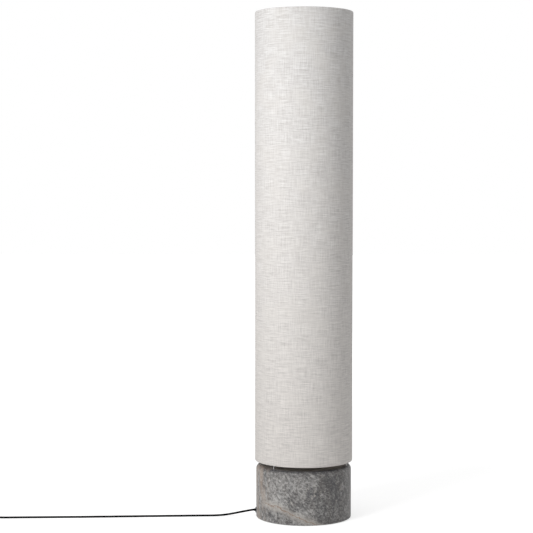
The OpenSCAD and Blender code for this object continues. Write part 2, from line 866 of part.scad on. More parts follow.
// Top ring with its spider, welded into one piece
module top_frame() {
    ring_z = shade_z1 - ring_inset;
    hub_mid = (hub_z0 + hub_z1) / 2;
    color(steel) union() {
        translate([0, 0, ring_z]) wire_ring(ring_r, ring_wire_d);
        for (a = arm_azimuths)
            rod(polar(hub_d / 2 - 3, a, hub_mid), polar(ring_r, a, ring_z), spider_wire_d);
        translate([0, 0, hub_z0]) tube(hub_d, stud_d + 2 * play, hub_t);
    }
}

// Bottom ring with the lugs that stand on the locating pins
module bottom_frame() {
    ring_z = shade_z0 + ring_inset;
    lug_l = ring_r - pin_circle_r + lug_w / 2;
    color(steel) difference() {
        union() {
            translate([0, 0, ring_z]) wire_ring(ring_r, ring_wire_d);
            at_arms() translate([-lug_w / 2, -ring_r, lug_z0]) cube([lug_w, lug_l, lug_t]);
        }
        at_arms() translate([0, -pin_circle_r, lug_z0 - 1]) cylinder(h = lug_t + 2, d = pin_tip_d + 2 * play);
    }
}

module finial_washer() {
    color(brass) translate([0, 0, hub_z1]) tube(finial_d + 2, stud_d + 2 * play, finial_washer_t);
}

module finial() {
    color(brass) translate([0, 0, finial_z0]) difference() {
        union() {
            cylinder(h = 2, d = finial_d - 3);
            translate([0, 0, 2]) cylinder(h = finial_h - 4, d = finial_d);
            translate([0, 0, finial_h - 2]) cylinder(h = 2, d1 = finial_d, d2 = finial_d - 5);
        }
        translate([0, 0, -1]) cylinder(h = stud_l - finial_washer_t + play + 1, d = stud_d + 2 * play);
    }
}

// ---- foot switch ----

module at_switch() {
    translate([switch_mid_x, switch_y, 0]) children();
}

module at_switch_screws() {
    for (s = [-1, 1]) translate([s * switch_screw_x, 0, 0]) children();
}

// The switch's outline drawn in by inset all round, from z0 up to z1
module switch_block(inset, z0, z1) {
    translate([0, 0, z0]) linear_extrude(z1 - z0) stadium(switch_l - 2 * inset, switch_w - 2 * inset);
}

module switch_lower_shell() {
    color(black) at_switch() difference() {
        union() {
            difference() {
                switch_block(0, 0, switch_split);
                switch_block(switch_wall, switch_wall, switch_split + 1);
            }
            at_switch_screws() cylinder(h = board_z, d = switch_screw_d + 5);
        }
        at_switch_screws() translate([0, 0, -1]) cylinder(h = switch_split, d = switch_screw_d + 2 * seat);
        at_switch_screws() translate([0, 0, -1]) cylinder(h = 3, d = switch_screw_d + 3);
        relief_bore();
    }
}

module switch_upper_shell() {
    shoulder_z = switch_h - switch_step;
    color(black) at_switch() difference() {
        union() {
            switch_block(0, switch_split, shoulder_z);
            switch_block(switch_step, shoulder_z - 1, switch_h);
        }
        switch_block(switch_wall, switch_split - 1, shoulder_z - switch_wall);
        switch_block(switch_step + switch_wall, switch_split, switch_h - switch_wall);
        translate([0, 0, switch_split]) cylinder(h = switch_h, d = button_d + 2 * play);
        translate([0, 0, switch_split])
            cylinder(h = flange_z1 - switch_split, d = button_flange_d + 2 * play);
        relief_bore();
    }
}

module relief_bore() {
    for (s = [-1, 1]) translate([s * (switch_l / 2 - relief_in - seat), 0, switch_cord_z])
        rotate([0, s * 90, 0]) cylinder(h = relief_in + 5, d = relief_d + 2 * seat);
}

module switch_reliefs() {
    color(black) at_switch() for (s = [-1, 1])
        translate([s * (switch_l / 2 - relief_in), 0, switch_cord_z]) rotate([0, s * 90, 0]) union() {
            cylinder(h = relief_in, d = relief_d);
            translate([0, 0, relief_in]) cylinder(h = relief_l, d1 = relief_d, d2 = cord_d + 1);
        }
}

module switch_board() {
    color([0.1, 0.3, 0.18]) at_switch() difference() {
        translate([0, 0, board_z]) linear_extrude(board_t)
            stadium(switch_l - 4 * switch_wall - 8, switch_w - 4 * switch_wall);
        at_switch_screws() translate([0, 0, board_z - 1])
            cylinder(h = board_t + 2, d = switch_screw_d + 2 * seat);
    }
}

module switch_screws() {
    color(steel) at_switch() at_switch_screws() union() {
        translate([0, 0, 0.5]) cylinder(h = 1.4, d = switch_screw_d + 2.4);
        translate([0, 0, 0.5]) cylinder(h = board_z + board_t + 1, d = switch_screw_d);
    }
}

module switch_button() {
    color(black) at_switch() union() {
        translate([0, 0, flange_z1 - button_flange_t]) cylinder(h = button_flange_t, d = button_flange_d);
        translate([0, 0, flange_z1 - 0.5]) cylinder(h = switch_wall + button_rise - 1, d = button_d);
        translate([0, 0, switch_h + button_rise - 1.5]) cylinder(h = 1.5, d1 = button_d, d2 = button_d - 3);
    }
}

// The return spring: one wire wound as a helix between the board and the button
module switch_spring() {
    color(steel) at_switch() swept_tube(spring_points, spring_wire, 6);
}

// ---- plug ----

module plug_outline() {
    difference() {
        translate([0, -plug_w / 2]) square([plug_l, plug_w]);
        for (m = [0, 1]) mirror([0, m])
            polygon([[-1, plug_neck_d], [plug_shoulder, plug_w / 2], [plug_shoulder, plug_w], [-1, plug_w]]);
    }
}

module at_plug() {
    translate([plug_x0, plug_y, 0]) children();
}

module plug_body() {
    color(black) at_plug() union() {
        linear_extrude(plug_t) plug_outline();
        translate([-plug_neck_l, 0, plug_z]) rotate([0, 90, 0])
            cylinder(h = plug_neck_l + 2, d1 = cord_d + 1.2, d2 = plug_neck_d);
    }
}

module at_pins() {
    at_plug() for (s = [-1, 1])
        translate([plug_l, s * pin_pitch / 2, plug_z]) rotate([0, 90, 0]) children();
}

module plug_sleeves() {
    color(black) at_pins() cylinder(h = sleeve_l, d = sleeve_d);
}

module plug_pins() {
    shank_l = pin_l - sleeve_l - pin_tip_l;
    color(steel) at_pins() translate([0, 0, sleeve_l]) union() {
        cylinder(h = shank_l, d = pin_d);
        translate([0, 0, shank_l]) cylinder(h = pin_tip_l, d1 = pin_d, d2 = pin_d - pin_tip_taper);
    }
}

// ---- lead ----

module cord_gland() {
    color(black) difference() {
        union() {
            along_exit(gland_seat_x - gland_barrel_l)
                cylinder(h = gland_barrel_l, d1 = gland_hole_d - 1.2, d2 = gland_hole_d - 2 * seat);
            along_exit(gland_seat_x) cylinder(h = gland_flange_t, d = gland_flange_d);
            along_exit(gland_seat_x + gland_flange_t)
                cylinder(h = gland_nose_l, d1 = gland_nose_d, d2 = cord_d + 1);
        }
        along_exit(gland_seat_x - gland_barrel_l - 1)
            cylinder(h = gland_barrel_l + gland_flange_t + gland_nose_l + 2, d = cord_d + 2 * seat);
    }
}

module cord_run() {
    color(black) swept_tube(smooth_route(run_points, 2), cord_d, 8);
}

module cord_lead() {
    color(black) swept_tube(lead_points, cord_d, 8);
}

module cord_coil() {
    color(black) swept_tube(coil_points, cord_d, 6);
}

module cord_tail() {
    color(black) swept_tube(tail_points, cord_d, 8);
}

felt_pad();
stone_base();
cover_plate();
cover_screws();
stone_inserts();
cord_anchor();
anchor_screws();
terminal_block();
terminal_screws();
inner_cord();
stem_wires();
holder_leads();
foot_gasket();
foot_plate();
stem_nipple();
clamp_washer();
clamp_nut();
stem_tube();
stem_grub_screw();
stem_cap();
locating_pins();
at_lower() bracket();  // bracket_lower
at_upper() bracket();  // bracket_upper
bracket_screws();
at_lower() holder_base();  // holder_base_lower
at_upper() holder_base();  // holder_base_upper
at_lower() holder_shell();  // holder_shell_lower
at_upper() holder_shell();  // holder_shell_upper
holder_contacts();
holder_nuts();
at_lower() bulb_cap();  // bulb_lower_cap
at_lower() bulb_housing();  // bulb_lower_housing
at_lower() bulb_globe();  // bulb_lower_globe
at_upper() bulb_cap();  // bulb_upper_cap
at_upper() bulb_housing();  // bulb_upper_housing
at_upper() bulb_globe();  // bulb_upper_globe
shade_linen();
shade_lining();
top_frame();
bottom_frame();
finial_washer();
finial();
switch_lower_shell();
switch_upper_shell();
switch_board();
switch_spring();
switch_button();
switch_screws();
switch_reliefs();
plug_body();
plug_pins();
plug_sleeves();
cord_gland();
cord_run();
cord_lead();
cord_coil();
cord_tail();
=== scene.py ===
"""Looks of a column floor lamp: a linen cylinder shade over a drum of grey stone.

Metres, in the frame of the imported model: Z up, the floor at z = 0, the lamp's axis at x = y = 0,
the front towards -Y. The black lead leaves the stone towards -X, runs to a foot switch and ends in
a coil and a flat two-pin plug. Sizes in the classes are in millimetres, as on a drawing.
"""

import json
import logging
import math
from collections.abc import Callable
from dataclasses import dataclass
from enum import Enum
from functools import partial

import bmesh
import bpy
from mathutils import Matrix, Vector


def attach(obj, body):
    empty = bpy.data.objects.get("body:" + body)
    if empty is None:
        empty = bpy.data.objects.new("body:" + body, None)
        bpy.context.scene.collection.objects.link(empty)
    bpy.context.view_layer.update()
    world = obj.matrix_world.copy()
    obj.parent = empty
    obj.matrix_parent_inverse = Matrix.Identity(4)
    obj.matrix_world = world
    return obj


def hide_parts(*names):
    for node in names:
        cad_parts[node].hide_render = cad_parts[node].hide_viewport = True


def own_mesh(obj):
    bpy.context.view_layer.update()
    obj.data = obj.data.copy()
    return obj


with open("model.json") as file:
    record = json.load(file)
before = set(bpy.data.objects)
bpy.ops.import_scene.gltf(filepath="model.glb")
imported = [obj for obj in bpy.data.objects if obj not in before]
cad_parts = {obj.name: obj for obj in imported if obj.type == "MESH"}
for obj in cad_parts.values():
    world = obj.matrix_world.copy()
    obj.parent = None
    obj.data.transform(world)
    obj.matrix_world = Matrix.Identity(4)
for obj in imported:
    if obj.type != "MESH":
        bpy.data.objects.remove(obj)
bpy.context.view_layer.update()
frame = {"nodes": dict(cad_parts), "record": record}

LOG = logging.getLogger("lamp")
MM = 0.001
FRAME_PX = 533
ARM_AZIMUTHS = (-44.0, 76.0, 196.0)
NODES = frame["nodes"]
SLOT_OF = {row["node"]: row["material_slot"] for row in frame["record"]["subparts"]}
BODIES = frame["record"]["behaviour"]["bodies"]
BODY_OF = {node: body for body, nodes in BODIES.items() for node in nodes}

# Edges sharper than this are shaded hard, points nearer than the weld are one point, and a plain
# stretch of a half section is cut this long
SHARP_DEG = 38.0
WELD_MM = 0.01
PLAIN_STEP_MM = 4.0
HOLE_FACETS = 32
ROUTE_STEPS = 4

# The kinds of node that are used most
MATH, VECTOR_MATH, MIX = "ShaderNodeMath", "ShaderNodeVectorMath", "ShaderNodeMix"
MAP_RANGE, NOISE, BUMP = "ShaderNodeMapRange", "ShaderNodeTexNoise", "ShaderNodeBump"

# The call that adds a node to a tree, and what an input can be linked to
Adder = Callable[..., bpy.types.Node]
Source = bpy.types.Node | bpy.types.NodeSocket
Sources = dict[str, Source]


# ---- small tools ----


def linear(hex_colour: str) -> tuple[float, float, float, float]:
    """Turn an sRGB hex colour into linear RGBA.

    Args:
        hex_colour: six hex digits after a hash sign.

    Returns:
        The linear red, green and blue, and an alpha of 1.
    """
    parts = [int(hex_colour[i:i + 2], 16) / 255 for i in (1, 3, 5)]
    return (*[c / 12.92 if c <= 0.04045 else ((c + 0.055) / 1.055) ** 2.4 for c in parts], 1.0)


def feed(node: bpy.types.Node, inputs: dict) -> None:
    """Link or set a node's inputs.

    Args:
        node: the node.
        inputs: by the input's name or index, a plain value, another node's output socket, or
            another node, which stands for the first of its outputs in use.
    """
    for key, value in inputs.items():
        if isinstance(value, bpy.types.Node):
            value = next(output for output in value.outputs if output.enabled)
        if isinstance(value, bpy.types.NodeSocket):
            node.id_data.links.new(value, node.inputs[key])
        else:
            node.inputs[key].default_value = value


def add_node(tree: bpy.types.NodeTree, kind: str, inputs: dict | None = None, **settings) -> bpy.types.Node:
    """Add one node with its settings and links.

    Args:
        tree: the shader or geometry tree.
        kind: the node's type name.
        inputs: what its inputs are fed.
        **settings: the node's own properties.

    Returns:
        The new node.
    """
    node = tree.nodes.new(kind)
    for name, value in settings.items():
        setattr(node, name, value)
    feed(node, inputs or {})
    return node


def add_object(name: str, data: bpy.types.ID) -> bpy.types.Object:
    """Put data into the scene as an object at the origin.

    Args:
        name: the object's name.
        data: its mesh, curve, light or camera.

    Returns:
        The object.
    """
    piece = bpy.data.objects.new(name, data)
    bpy.context.scene.collection.objects.link(piece)
    return piece


def as_plain_mesh(piece: bpy.types.Object, name: str) -> bpy.types.Object:
    """Replace an object and its modifiers by the plain mesh that they make.

    Args:
        piece: the object with live modifiers, which is removed.
        name: the name of the finished piece.

    Returns:
        The finished piece, at the origin, with its hard edges marked.
    """
    evaluated = piece.evaluated_get(bpy.context.evaluated_depsgraph_get())
    mesh = bpy.data.meshes.new_from_object(evaluated)
    bpy.data.objects.remove(piece)
    mesh.name = name
    mesh.set_sharp_from_angle(angle=math.radians(SHARP_DEG))
    return add_object(name, mesh)


def place(piece: bpy.types.Object, move: Matrix) -> bpy.types.Object:
    """Move a finished piece's mesh, leaving its object at the origin."""
    piece.data.transform(move)
    return piece


def hand_over(piece: bpy.types.Object, body: str, slot: str, *nodes: str) -> bpy.types.Object:
    """Fix a finished piece to its body and hide the solids that it stands for.

    Args:
        piece: the finished piece.
        body: the body that it moves with.
        slot: its finish; not used.
        *nodes: the solids that it stands for.

    Returns:
        The piece.
    """
    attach(piece, body)
    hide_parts(*nodes)
    faces = len(piece.data.polygons) if piece.type == "MESH" else 0
    LOG.info("%s: %d faces, on %s, for %s", piece.name, faces, body, ", ".join(nodes))
    return piece


def catmull(p: list[Vector], i: int, t: float) -> Vector:
    """Return the point at share t of the stretch from point i to point i + 1 of a smooth route."""
    a, b, c, d = (p[max(0, min(len(p) - 1, i + k))] for k in (-1, 0, 1, 2))
    return 0.5 * (2 * b + (c - a) * t + (2 * a - 5 * b + 4 * c - d) * t**2 + (3 * b - a - 3 * c + d) * t**3)


def smooth_route(points: list[tuple[float, float, float]]) -> list[Vector]:
    """Return a smooth route through the points, which are given in millimetres, in metres."""
    p = [Vector(q) * MM for q in points]
    return [catmull(p, i, k / ROUTE_STEPS) for i in range(len(p) - 1) for k in range(ROUTE_STEPS)] + [p[-1]]


def length_of(points: list[Vector]) -> float:
    """Return the length of a line through the points."""
    return sum((b - a).length for a, b in zip(points, points[1:]))


# ---- half sections, and the tree that turns them ----


@dataclass
class HalfSection:
    """The half section of a turned piece, as corners (radius, height, fillet) in millimetres.

    The corners run so that the material lies on the left of the way, which turns every face
    outwards. A gripped stretch, named by its first corner, takes the tree's ribs or thread.
    """

    corners: list[tuple[float, float, float]]
    longest: float = PLAIN_STEP_MM
    gripped: tuple[int, ...] = ()
    arc_steps: int = 5

    def arc(self, i: int) -> list[Vector]:
        """Round one corner.

        Args:
            i: the corner's number.

        Returns:
            The points of its fillet, or the corner itself where it has none.
        """
        r, z, fillet = self.corners[i]
        corner = Vector((r, z))
        if fillet <= 0 or i in (0, len(self.corners) - 1):
            return [corner]
        before = (Vector(self.corners[i - 1][:2]) - corner).normalized()
        after = (Vector(self.corners[i + 1][:2]) - corner).normalized()
        half = before.angle(after) / 2
        centre = corner + (before + after).normalized() * fillet / math.sin(half)
        start, end = (corner + side * fillet / math.tan(half) - centre for side in (before, after))
        shares = [k / self.arc_steps for k in range(self.arc_steps + 1)]
        return [centre + start.lerp(end, t).normalized() * fillet for t in shares]

    def points(self) -> list[tuple[float, float, float]]:
        """Return (radius, height, grip) in metres for every point of the section."""
        arcs = [self.arc(i) for i in range(len(self.corners))]
        line: list[tuple[float, float, float]] = []
        for i, arc in enumerate(arcs):
            line += [(p.x, p.y, 0.0) for p in arc]
            if i + 1 < len(arcs):
                a, b = arc[-1], arcs[i + 1][0]
                gripped = i in self.gripped
                step = self.longest if gripped or not self.gripped else PLAIN_STEP_MM
                count = math.ceil((b - a).length / step)
                for k in range(1, count):
                    p = a.lerp(b, k / count)
                    line.append((p.x, p.y, float(gripped)))
        return [(r * MM, z * MM, grip) for r, z, grip in line]

    def runs(self) -> list[float]:
        """Return how far along the section each point lies, in metres."""
        points, run = self.points(), [0.0]
        for a, b in zip(points, points[1:]):
            run.append(run[-1] + math.dist(a[:2], b[:2]))
        return run

    def mesh(self, name: str) -> bpy.types.Mesh:
        """Draw the section as a line of edges.

        Args:
            name: the mesh's name.

        Returns:
            The mesh, with the run and the grip stored on its points.
        """
        points = self.points()
        mesh = bpy.data.meshes.new(name)
        edges = [(i, i + 1) for i in range(len(points) - 1)]
        mesh.from_pydata([(r, 0, z) for r, z, _ in points], edges, [])
        for label, values in (("run", self.runs()), ("grip", [p[2] for p in points])):
            mesh.attributes.new(label, "FLOAT", "POINT").data.foreach_set("value", values)
        return mesh


TURNED_INPUTS = {
    "Columns": ("NodeSocketInt", 96), "Girth": ("NodeSocketFloat", 1.0),
    "Lap Angle": ("NodeSocketFloat", 0.0), "Lap Step": ("NodeSocketFloat", 0.0),
    "Count": ("NodeSocketFloat", 1.0), "Pitch": ("NodeSocketFloat", 1.0),
    "Depth": ("NodeSocketFloat", 0.0), "Crossed": ("NodeSocketFloat", 0.0),
    "Relief": ("NodeSocketFloat", 0.0), "Relief Size": ("NodeSocketFloat", 0.01),
    "Seed": ("NodeSocketFloat", 7.0), "Material": ("NodeSocketMaterial", None),
}
LAP_CLIMBS = (0.985, 0.999)


def open_tree(name: str, inputs: dict) -> tuple[bpy.types.NodeTree, Adder, bpy.types.NodeOutputs]:
    """Start a geometry tree with named inputs.

    Args:
        name: the tree's name.
        inputs: each input's socket type and default value, by its name.

    Returns:
        The tree, the call that adds a node to it, and the outputs of its input node.
    """
    tree = bpy.data.node_groups.new(name, "GeometryNodeTree")
    for way in ("INPUT", "OUTPUT"):
        tree.interface.new_socket("Geometry", in_out=way, socket_type="NodeSocketGeometry")
    for label, (kind, value) in inputs.items():
        socket = tree.interface.new_socket(label, in_out="INPUT", socket_type=kind)
        if value is not None:
            socket.default_value = value
    return tree, partial(add_node, tree), add_node(tree, "NodeGroupInput").outputs


def close_tree(add: Adder, geometry: bpy.types.Node, material: bpy.types.NodeSocket) -> None:
    """End a geometry tree in real, dressed geometry.

    Args:
        add: the call that adds a node to the tree.
        geometry: what the tree has made.
        material: the input that names its finish.
    """
    real = add("GeometryNodeRealizeInstances", {0: geometry})
    dressed = add("GeometryNodeSetMaterial", {"Geometry": real, "Material": material})
    add("NodeGroupOutput", {0: dressed})


def apply_tree(piece: bpy.types.Object, tree: bpy.types.NodeTree, name: str, **inputs) -> bpy.types.Object:
    """Run a geometry tree on an object and keep the plain mesh.

    Args:
        piece: the object whose mesh the tree starts from, which is removed.
        tree: the tree.
        name: the finished piece's name.
        **inputs: the tree's inputs by name, with _ for a space.

    Returns:
        The finished piece.
    """
    modifier = piece.modifiers.new("made", "NODES")
    modifier.node_group = tree
    wanted = {key.replace("_", " "): value for key, value in inputs.items()}
    for item in tree.interface.items_tree:
        if item.in_out == "INPUT" and item.name in wanted:
            modifier[item.identifier] = wanted.pop(item.name)
    if wanted:
        raise KeyError(f"{tree.name} has no input named {sorted(wanted)}")
    return as_plain_mesh(piece, name)


def turning_tree() -> bpy.types.NodeTree:
    """Build the tree that turns a half section about Z, and cuts its thread, knurl or relief.

    Returns:
        The tree. The section's points become the rows of a grid, and the grid's columns go round.
    """
    tree, add, given = open_tree("turned_piece", TURNED_INPUTS)
    rows = add("GeometryNodeAttributeDomainSize", {0: given["Geometry"]})
    lines = add(MATH, {0: given["Columns"], 1: 1.0})
    grid = add("GeometryNodeMeshGrid", {"Vertices X": lines, "Vertices Y": rows})
    index = add("GeometryNodeInputIndex")
    row = add(MATH, {0: index, 1: rows}, operation="MODULO")
    column = add(MATH, {0: index, 1: rows}, operation="DIVIDE")
    column = add(MATH, {0: column}, operation="FLOOR")
    share = add(MATH, {0: column, 1: given["Columns"]}, operation="DIVIDE")

    sampled = {"Geometry": given["Geometry"], "Index": row}
    where = add("GeometryNodeInputPosition")
    section = add("GeometryNodeSampleIndex", {**sampled, "Value": where}, data_type="FLOAT_VECTOR")
    stored = [add("GeometryNodeInputNamedAttribute", {"Name": label}) for label in ("run", "grip")]
    run, grip = (add("GeometryNodeSampleIndex", {**sampled, "Value": value}) for value in stored)
    whole = add(MATH, {0: given["Lap Angle"], 1: math.tau})
    turn = add(MATH, {0: share, 1: whole}, operation="MULTIPLY")
    from_back = add(MATH, {0: turn, 1: math.pi / 2})
    turned_round = add("ShaderNodeVectorRotate", {"Vector": section, "Angle": from_back},
                       rotation_type="Z_AXIS")

    around = add(MATH, {0: share, 1: given["Girth"]}, operation="MULTIPLY")
    flat = add("ShaderNodeCombineXYZ", {"X": around, "Y": run})
    flat = add("GeometryNodeFieldOnDomain", {0: flat}, data_type="FLOAT_VECTOR")
    mapped = add("GeometryNodeStoreNamedAttribute", {"Geometry": grid, "Name": "UVMap", "Value": flat},
                 data_type="FLOAT2", domain="CORNER")
    round_body = add("GeometryNodeSetPosition", {"Geometry": mapped, "Position": turned_round})

    # Thread or knurl: a wave along one helix, or the product of two that cross
    lead_round = add(MATH, {0: share, 1: given["Count"]}, operation="MULTIPLY")
    along = add(MATH, {0: run, 1: given["Pitch"]}, operation="DIVIDE")
    waves = []
    for sign in ("ADD", "SUBTRACT"):
        phase = add(MATH, {0: along, 1: lead_round}, operation=sign)
        phase = add(MATH, {0: phase, 1: math.tau}, operation="MULTIPLY")
        wave = add(MATH, {0: phase}, operation="COSINE")
        waves.append(add(MAP_RANGE, {"Value": wave, "From Min": -1.0}))
    second = add(MIX, {"Factor": given["Crossed"], 2: 1.0, 3: waves[1]})
    crest = add(MATH, {0: waves[0], 1: second}, operation="MULTIPLY")
    dent = add(MATH, {0: crest, 1: 1.0}, operation="SUBTRACT")
    for cut in (given["Depth"], grip):
        dent = add(MATH, {0: dent, 1: cut}, operation="MULTIPLY")

    # Unevenness, and the step where a lapped end climbs over the start
    fine = add(MATH, {0: 1.0, 1: given["Relief Size"]}, operation="DIVIDE")
    uneven = add(NOISE, {"Vector": turned_round, "W": given["Seed"], "Scale": fine, "Detail": 3.0},
                 noise_dimensions="4D")
    uneven = add(MATH, {0: uneven, 1: given["Relief"]}, operation="MULTIPLY")
    begins, ends = (math.tau * share_round for share_round in LAP_CLIMBS)
    past = add(MAP_RANGE, {
        "Value": turn, "From Min": begins, "From Max": ends, "To Max": given["Lap Step"],
    }, interpolation_type="SMOOTHSTEP")
    lift = add(MATH, {0: dent, 1: uneven})
    lift = add(MATH, {0: lift, 1: past})
    kept = add("GeometryNodeStoreNamedAttribute", {"Geometry": round_body, "Name": "lift", "Value": lift})
    closed = add("GeometryNodeMergeByDistance", {"Geometry": kept, "Distance": WELD_MM * MM})
    outwards = add("GeometryNodeInputNormal")
    lift = add("GeometryNodeInputNamedAttribute", {"Name": "lift"})
    offset = add(VECTOR_MATH, {0: outwards, "Scale": lift}, operation="SCALE")
    shaped = add("GeometryNodeSetPosition", {"Geometry": closed, "Offset": offset})
    bare = add("GeometryNodeRemoveAttribute", {"Geometry": shaped, "Name": "lift"})
    close_tree(add, add("GeometryNodeSetShadeSmooth", {0: bare}), given["Material"])
    return tree


TURNING = turning_tree()


def turned(name: str, section: HalfSection, material: bpy.types.Material, columns: int,
           **cut) -> bpy.types.Object:
    """Turn a half section about Z.

    Args:
        name: the piece's name.
        section: its half section.
        material: its finish.
        columns: the number of faces round it.
        **cut: the tree's other inputs by name, such as Pitch and Depth, in metres.

    Returns:
        The piece, about the Z axis.
    """
    line = add_object(name + "_section", section.mesh(name + "_section"))
    return apply_tree(line, TURNING, name, Columns=columns, Material=material, **cut)


SET_OUT_INPUTS = {"Piece": ("NodeSocketObject", None), "Material": ("NodeSocketMaterial", None)}


def set_out_tree() -> bpy.types.NodeTree:
    """Build the tree that sets one piece out at every point, turned by the point's "turn"."""
    tree, add, given = open_tree("set_out", SET_OUT_INPUTS)
    piece = add("GeometryNodeObjectInfo", {0: given["Piece"]}).outputs["Geometry"]
    turn = add("GeometryNodeInputNamedAttribute", {"Name": "turn"}, data_type="FLOAT_VECTOR")
    turn = add("FunctionNodeEulerToRotation", {0: turn})
    copies = add("GeometryNodeInstanceOnPoints", {
        "Points": given["Geometry"], "Instance": piece, "Rotation": turn,
    })
    close_tree(add, copies, given["Material"])
    return tree


SETTING_OUT = set_out_tree()
FACING_LEFT, FACING_RIGHT = (0.0, -math.pi / 2, 0.0), (0.0, math.pi / 2, 0.0)


def set_out(piece: bpy.types.Object, name: str, material: bpy.types.Material,
            spots: list[tuple[tuple[float, float, float], tuple[float, float, float]]]) -> bpy.types.Object:
    """Set copies of a piece out.

    Args:
        piece: the piece to copy, about the Z axis, which is removed.
        name: the finished piece's name.
        material: its finish.
        spots: the place in millimetres and the turn about X, Y and Z of each copy.

    Returns:
        One piece with all the copies.
    """
    points = bpy.data.meshes.new(name + "_spots")
    points.from_pydata([Vector(spot) * MM for spot, _ in spots], [], [])
    turns = points.attributes.new("turn", "FLOAT_VECTOR", "POINT")
    turns.data.foreach_set("vector", [angle for _, turn in spots for angle in turn])
    made = apply_tree(add_object(name + "_spots", points), SETTING_OUT, name, Piece=piece, Material=material)
    bpy.data.objects.remove(piece)
    return made


def lofted(name: str, rings: list[list[Vector]], material: bpy.types.Material,
           capped: bool) -> bpy.types.Object:
    """Skin a row of closed rings with the same number of points.

    Args:
        name: the piece's name.
        rings: the rings, in millimetres.
        material: the finish.
        capped: whether the first and last ring are closed by a face; if not, they are joined.

    Returns:
        The piece, smooth apart from its hard edges.
    """
    shell = bmesh.new()
    rows = [[shell.verts.new(p * MM) for p in ring] for ring in rings]
    if capped:
        shell.faces.new(rows[0])
        shell.faces.new(rows[-1])
    else:
        rows.append(rows[0])
    for low, high in zip(rows, rows[1:]):
        for i in range(len(low)):
            shell.faces.new((low[i - 1], low[i], high[i], high[i - 1]))
    bmesh.ops.recalc_face_normals(shell, faces=shell.faces)
    for face in shell.faces:
        face.smooth = True
    mesh = bpy.data.meshes.new(name)
    shell.to_mesh(mesh)
    shell.free()
    mesh.materials.append(material)
    return as_plain_mesh(add_object(name, mesh), name)


def drilled(piece: bpy.types.Object, name: str,
            holes: list[tuple[float, float, Vector, Vector]]) -> bpy.types.Object:
    """Cut round holes into a piece.

    Args:
        piece: the piece, which is removed.
        name: the finished piece's name.
        holes: radius, length, start and direction of each hole, in millimetres.

    Returns:
        The finished piece.
    """
    cut = bmesh.new()
    for radius, length, start, way in holes:
        turn = way.to_track_quat("Z", "Y").to_matrix().to_4x4()
        at = Matrix.Translation((start + way * length / 2) * MM) @ turn
        bmesh.ops.create_cone(cut, cap_ends=True, segments=HOLE_FACETS, radius1=radius * MM,
                              radius2=radius * MM, depth=length * MM, matrix=at)
    mesh = bpy.data.meshes.new(name + "_holes")
    cut.to_mesh(mesh)
    cut.free()
    cutter = add_object(name + "_holes", mesh)
    modifier = piece.modifiers.new("holes", "BOOLEAN")
    modifier.object, modifier.operation, modifier.solver = cutter, "DIFFERENCE", "EXACT"
    piece = as_plain_mesh(piece, name)
    bpy.data.objects.remove(cutter)
    return piece


# ---- finishes ----


def open_material(name: str) -> tuple[bpy.types.Material, Adder, bpy.types.Node]:
    """Start a material.

    Args:
        name: the finish's name.

    Returns:
        The material, the call that adds a node to it, and its shader node.
    """
    material = bpy.data.materials.new(name)
    material.use_nodes = True
    tree = material.node_tree
    return material, partial(add_node, tree), tree.nodes["Principled BSDF"]


class Grain(Enum):
    """How a surface's fine marks run, as the stretch of its noise along X, Y and Z."""

    MOULDED = (1.0, 1.0, 1.0)
    ROUND = (0.06, 0.06, 1.0)


@dataclass(frozen=True)
class Surface:
    """A hard or rubbery surface: a tone that drifts between two colours, and fine marks in its gloss."""

    name: str
    colour: str
    drift: str
    roughness: float
    roughness_drift: float = 0.08
    metallic: float = 0.0
    grain: Grain = Grain.MOULDED
    grain_mm: float = 0.8
    height_mm: float = 0.03
    coat: float = 0.0
    specular: float = 0.5
    clouds_in_grains: float = 22
    coat_roughness: float = 0.15

    def build(self) -> bpy.types.Material:
        """Return the material."""
        material, add, shader = open_material(self.name)
        seen = add("ShaderNodeTexCoord").outputs["Object"]
        marks_at = add("ShaderNodeMapping", {"Vector": seen, "Scale": self.grain.value})
        marks = add(NOISE, {
            "Vector": marks_at, "Scale": 1 / (self.grain_mm * MM), "Detail": 4.0, "Roughness": 0.6,
        })
        cloud_size = self.clouds_in_grains * self.grain_mm * MM
        clouds = add(NOISE, {"Vector": seen, "Scale": 1 / cloud_size, "Detail": 3.0})
        tone = add(MIX, {"Factor": clouds, 6: linear(self.colour), 7: linear(self.drift)}, data_type="RGBA")
        gloss = add(MAP_RANGE, {
            "Value": marks, "From Min": 0.3, "From Max": 0.7,
            "To Min": self.roughness - self.roughness_drift, "To Max": self.roughness + self.roughness_drift,
        })
        feed(shader, {
            "Base Color": tone, "Roughness": gloss, "Metallic": self.metallic, "Coat Weight": self.coat,
            "Coat Roughness": self.coat_roughness, "Specular IOR Level": self.specular,
            "Normal": add(BUMP, {"Height": marks, "Distance": self.height_mm * MM}),
        })
        return material


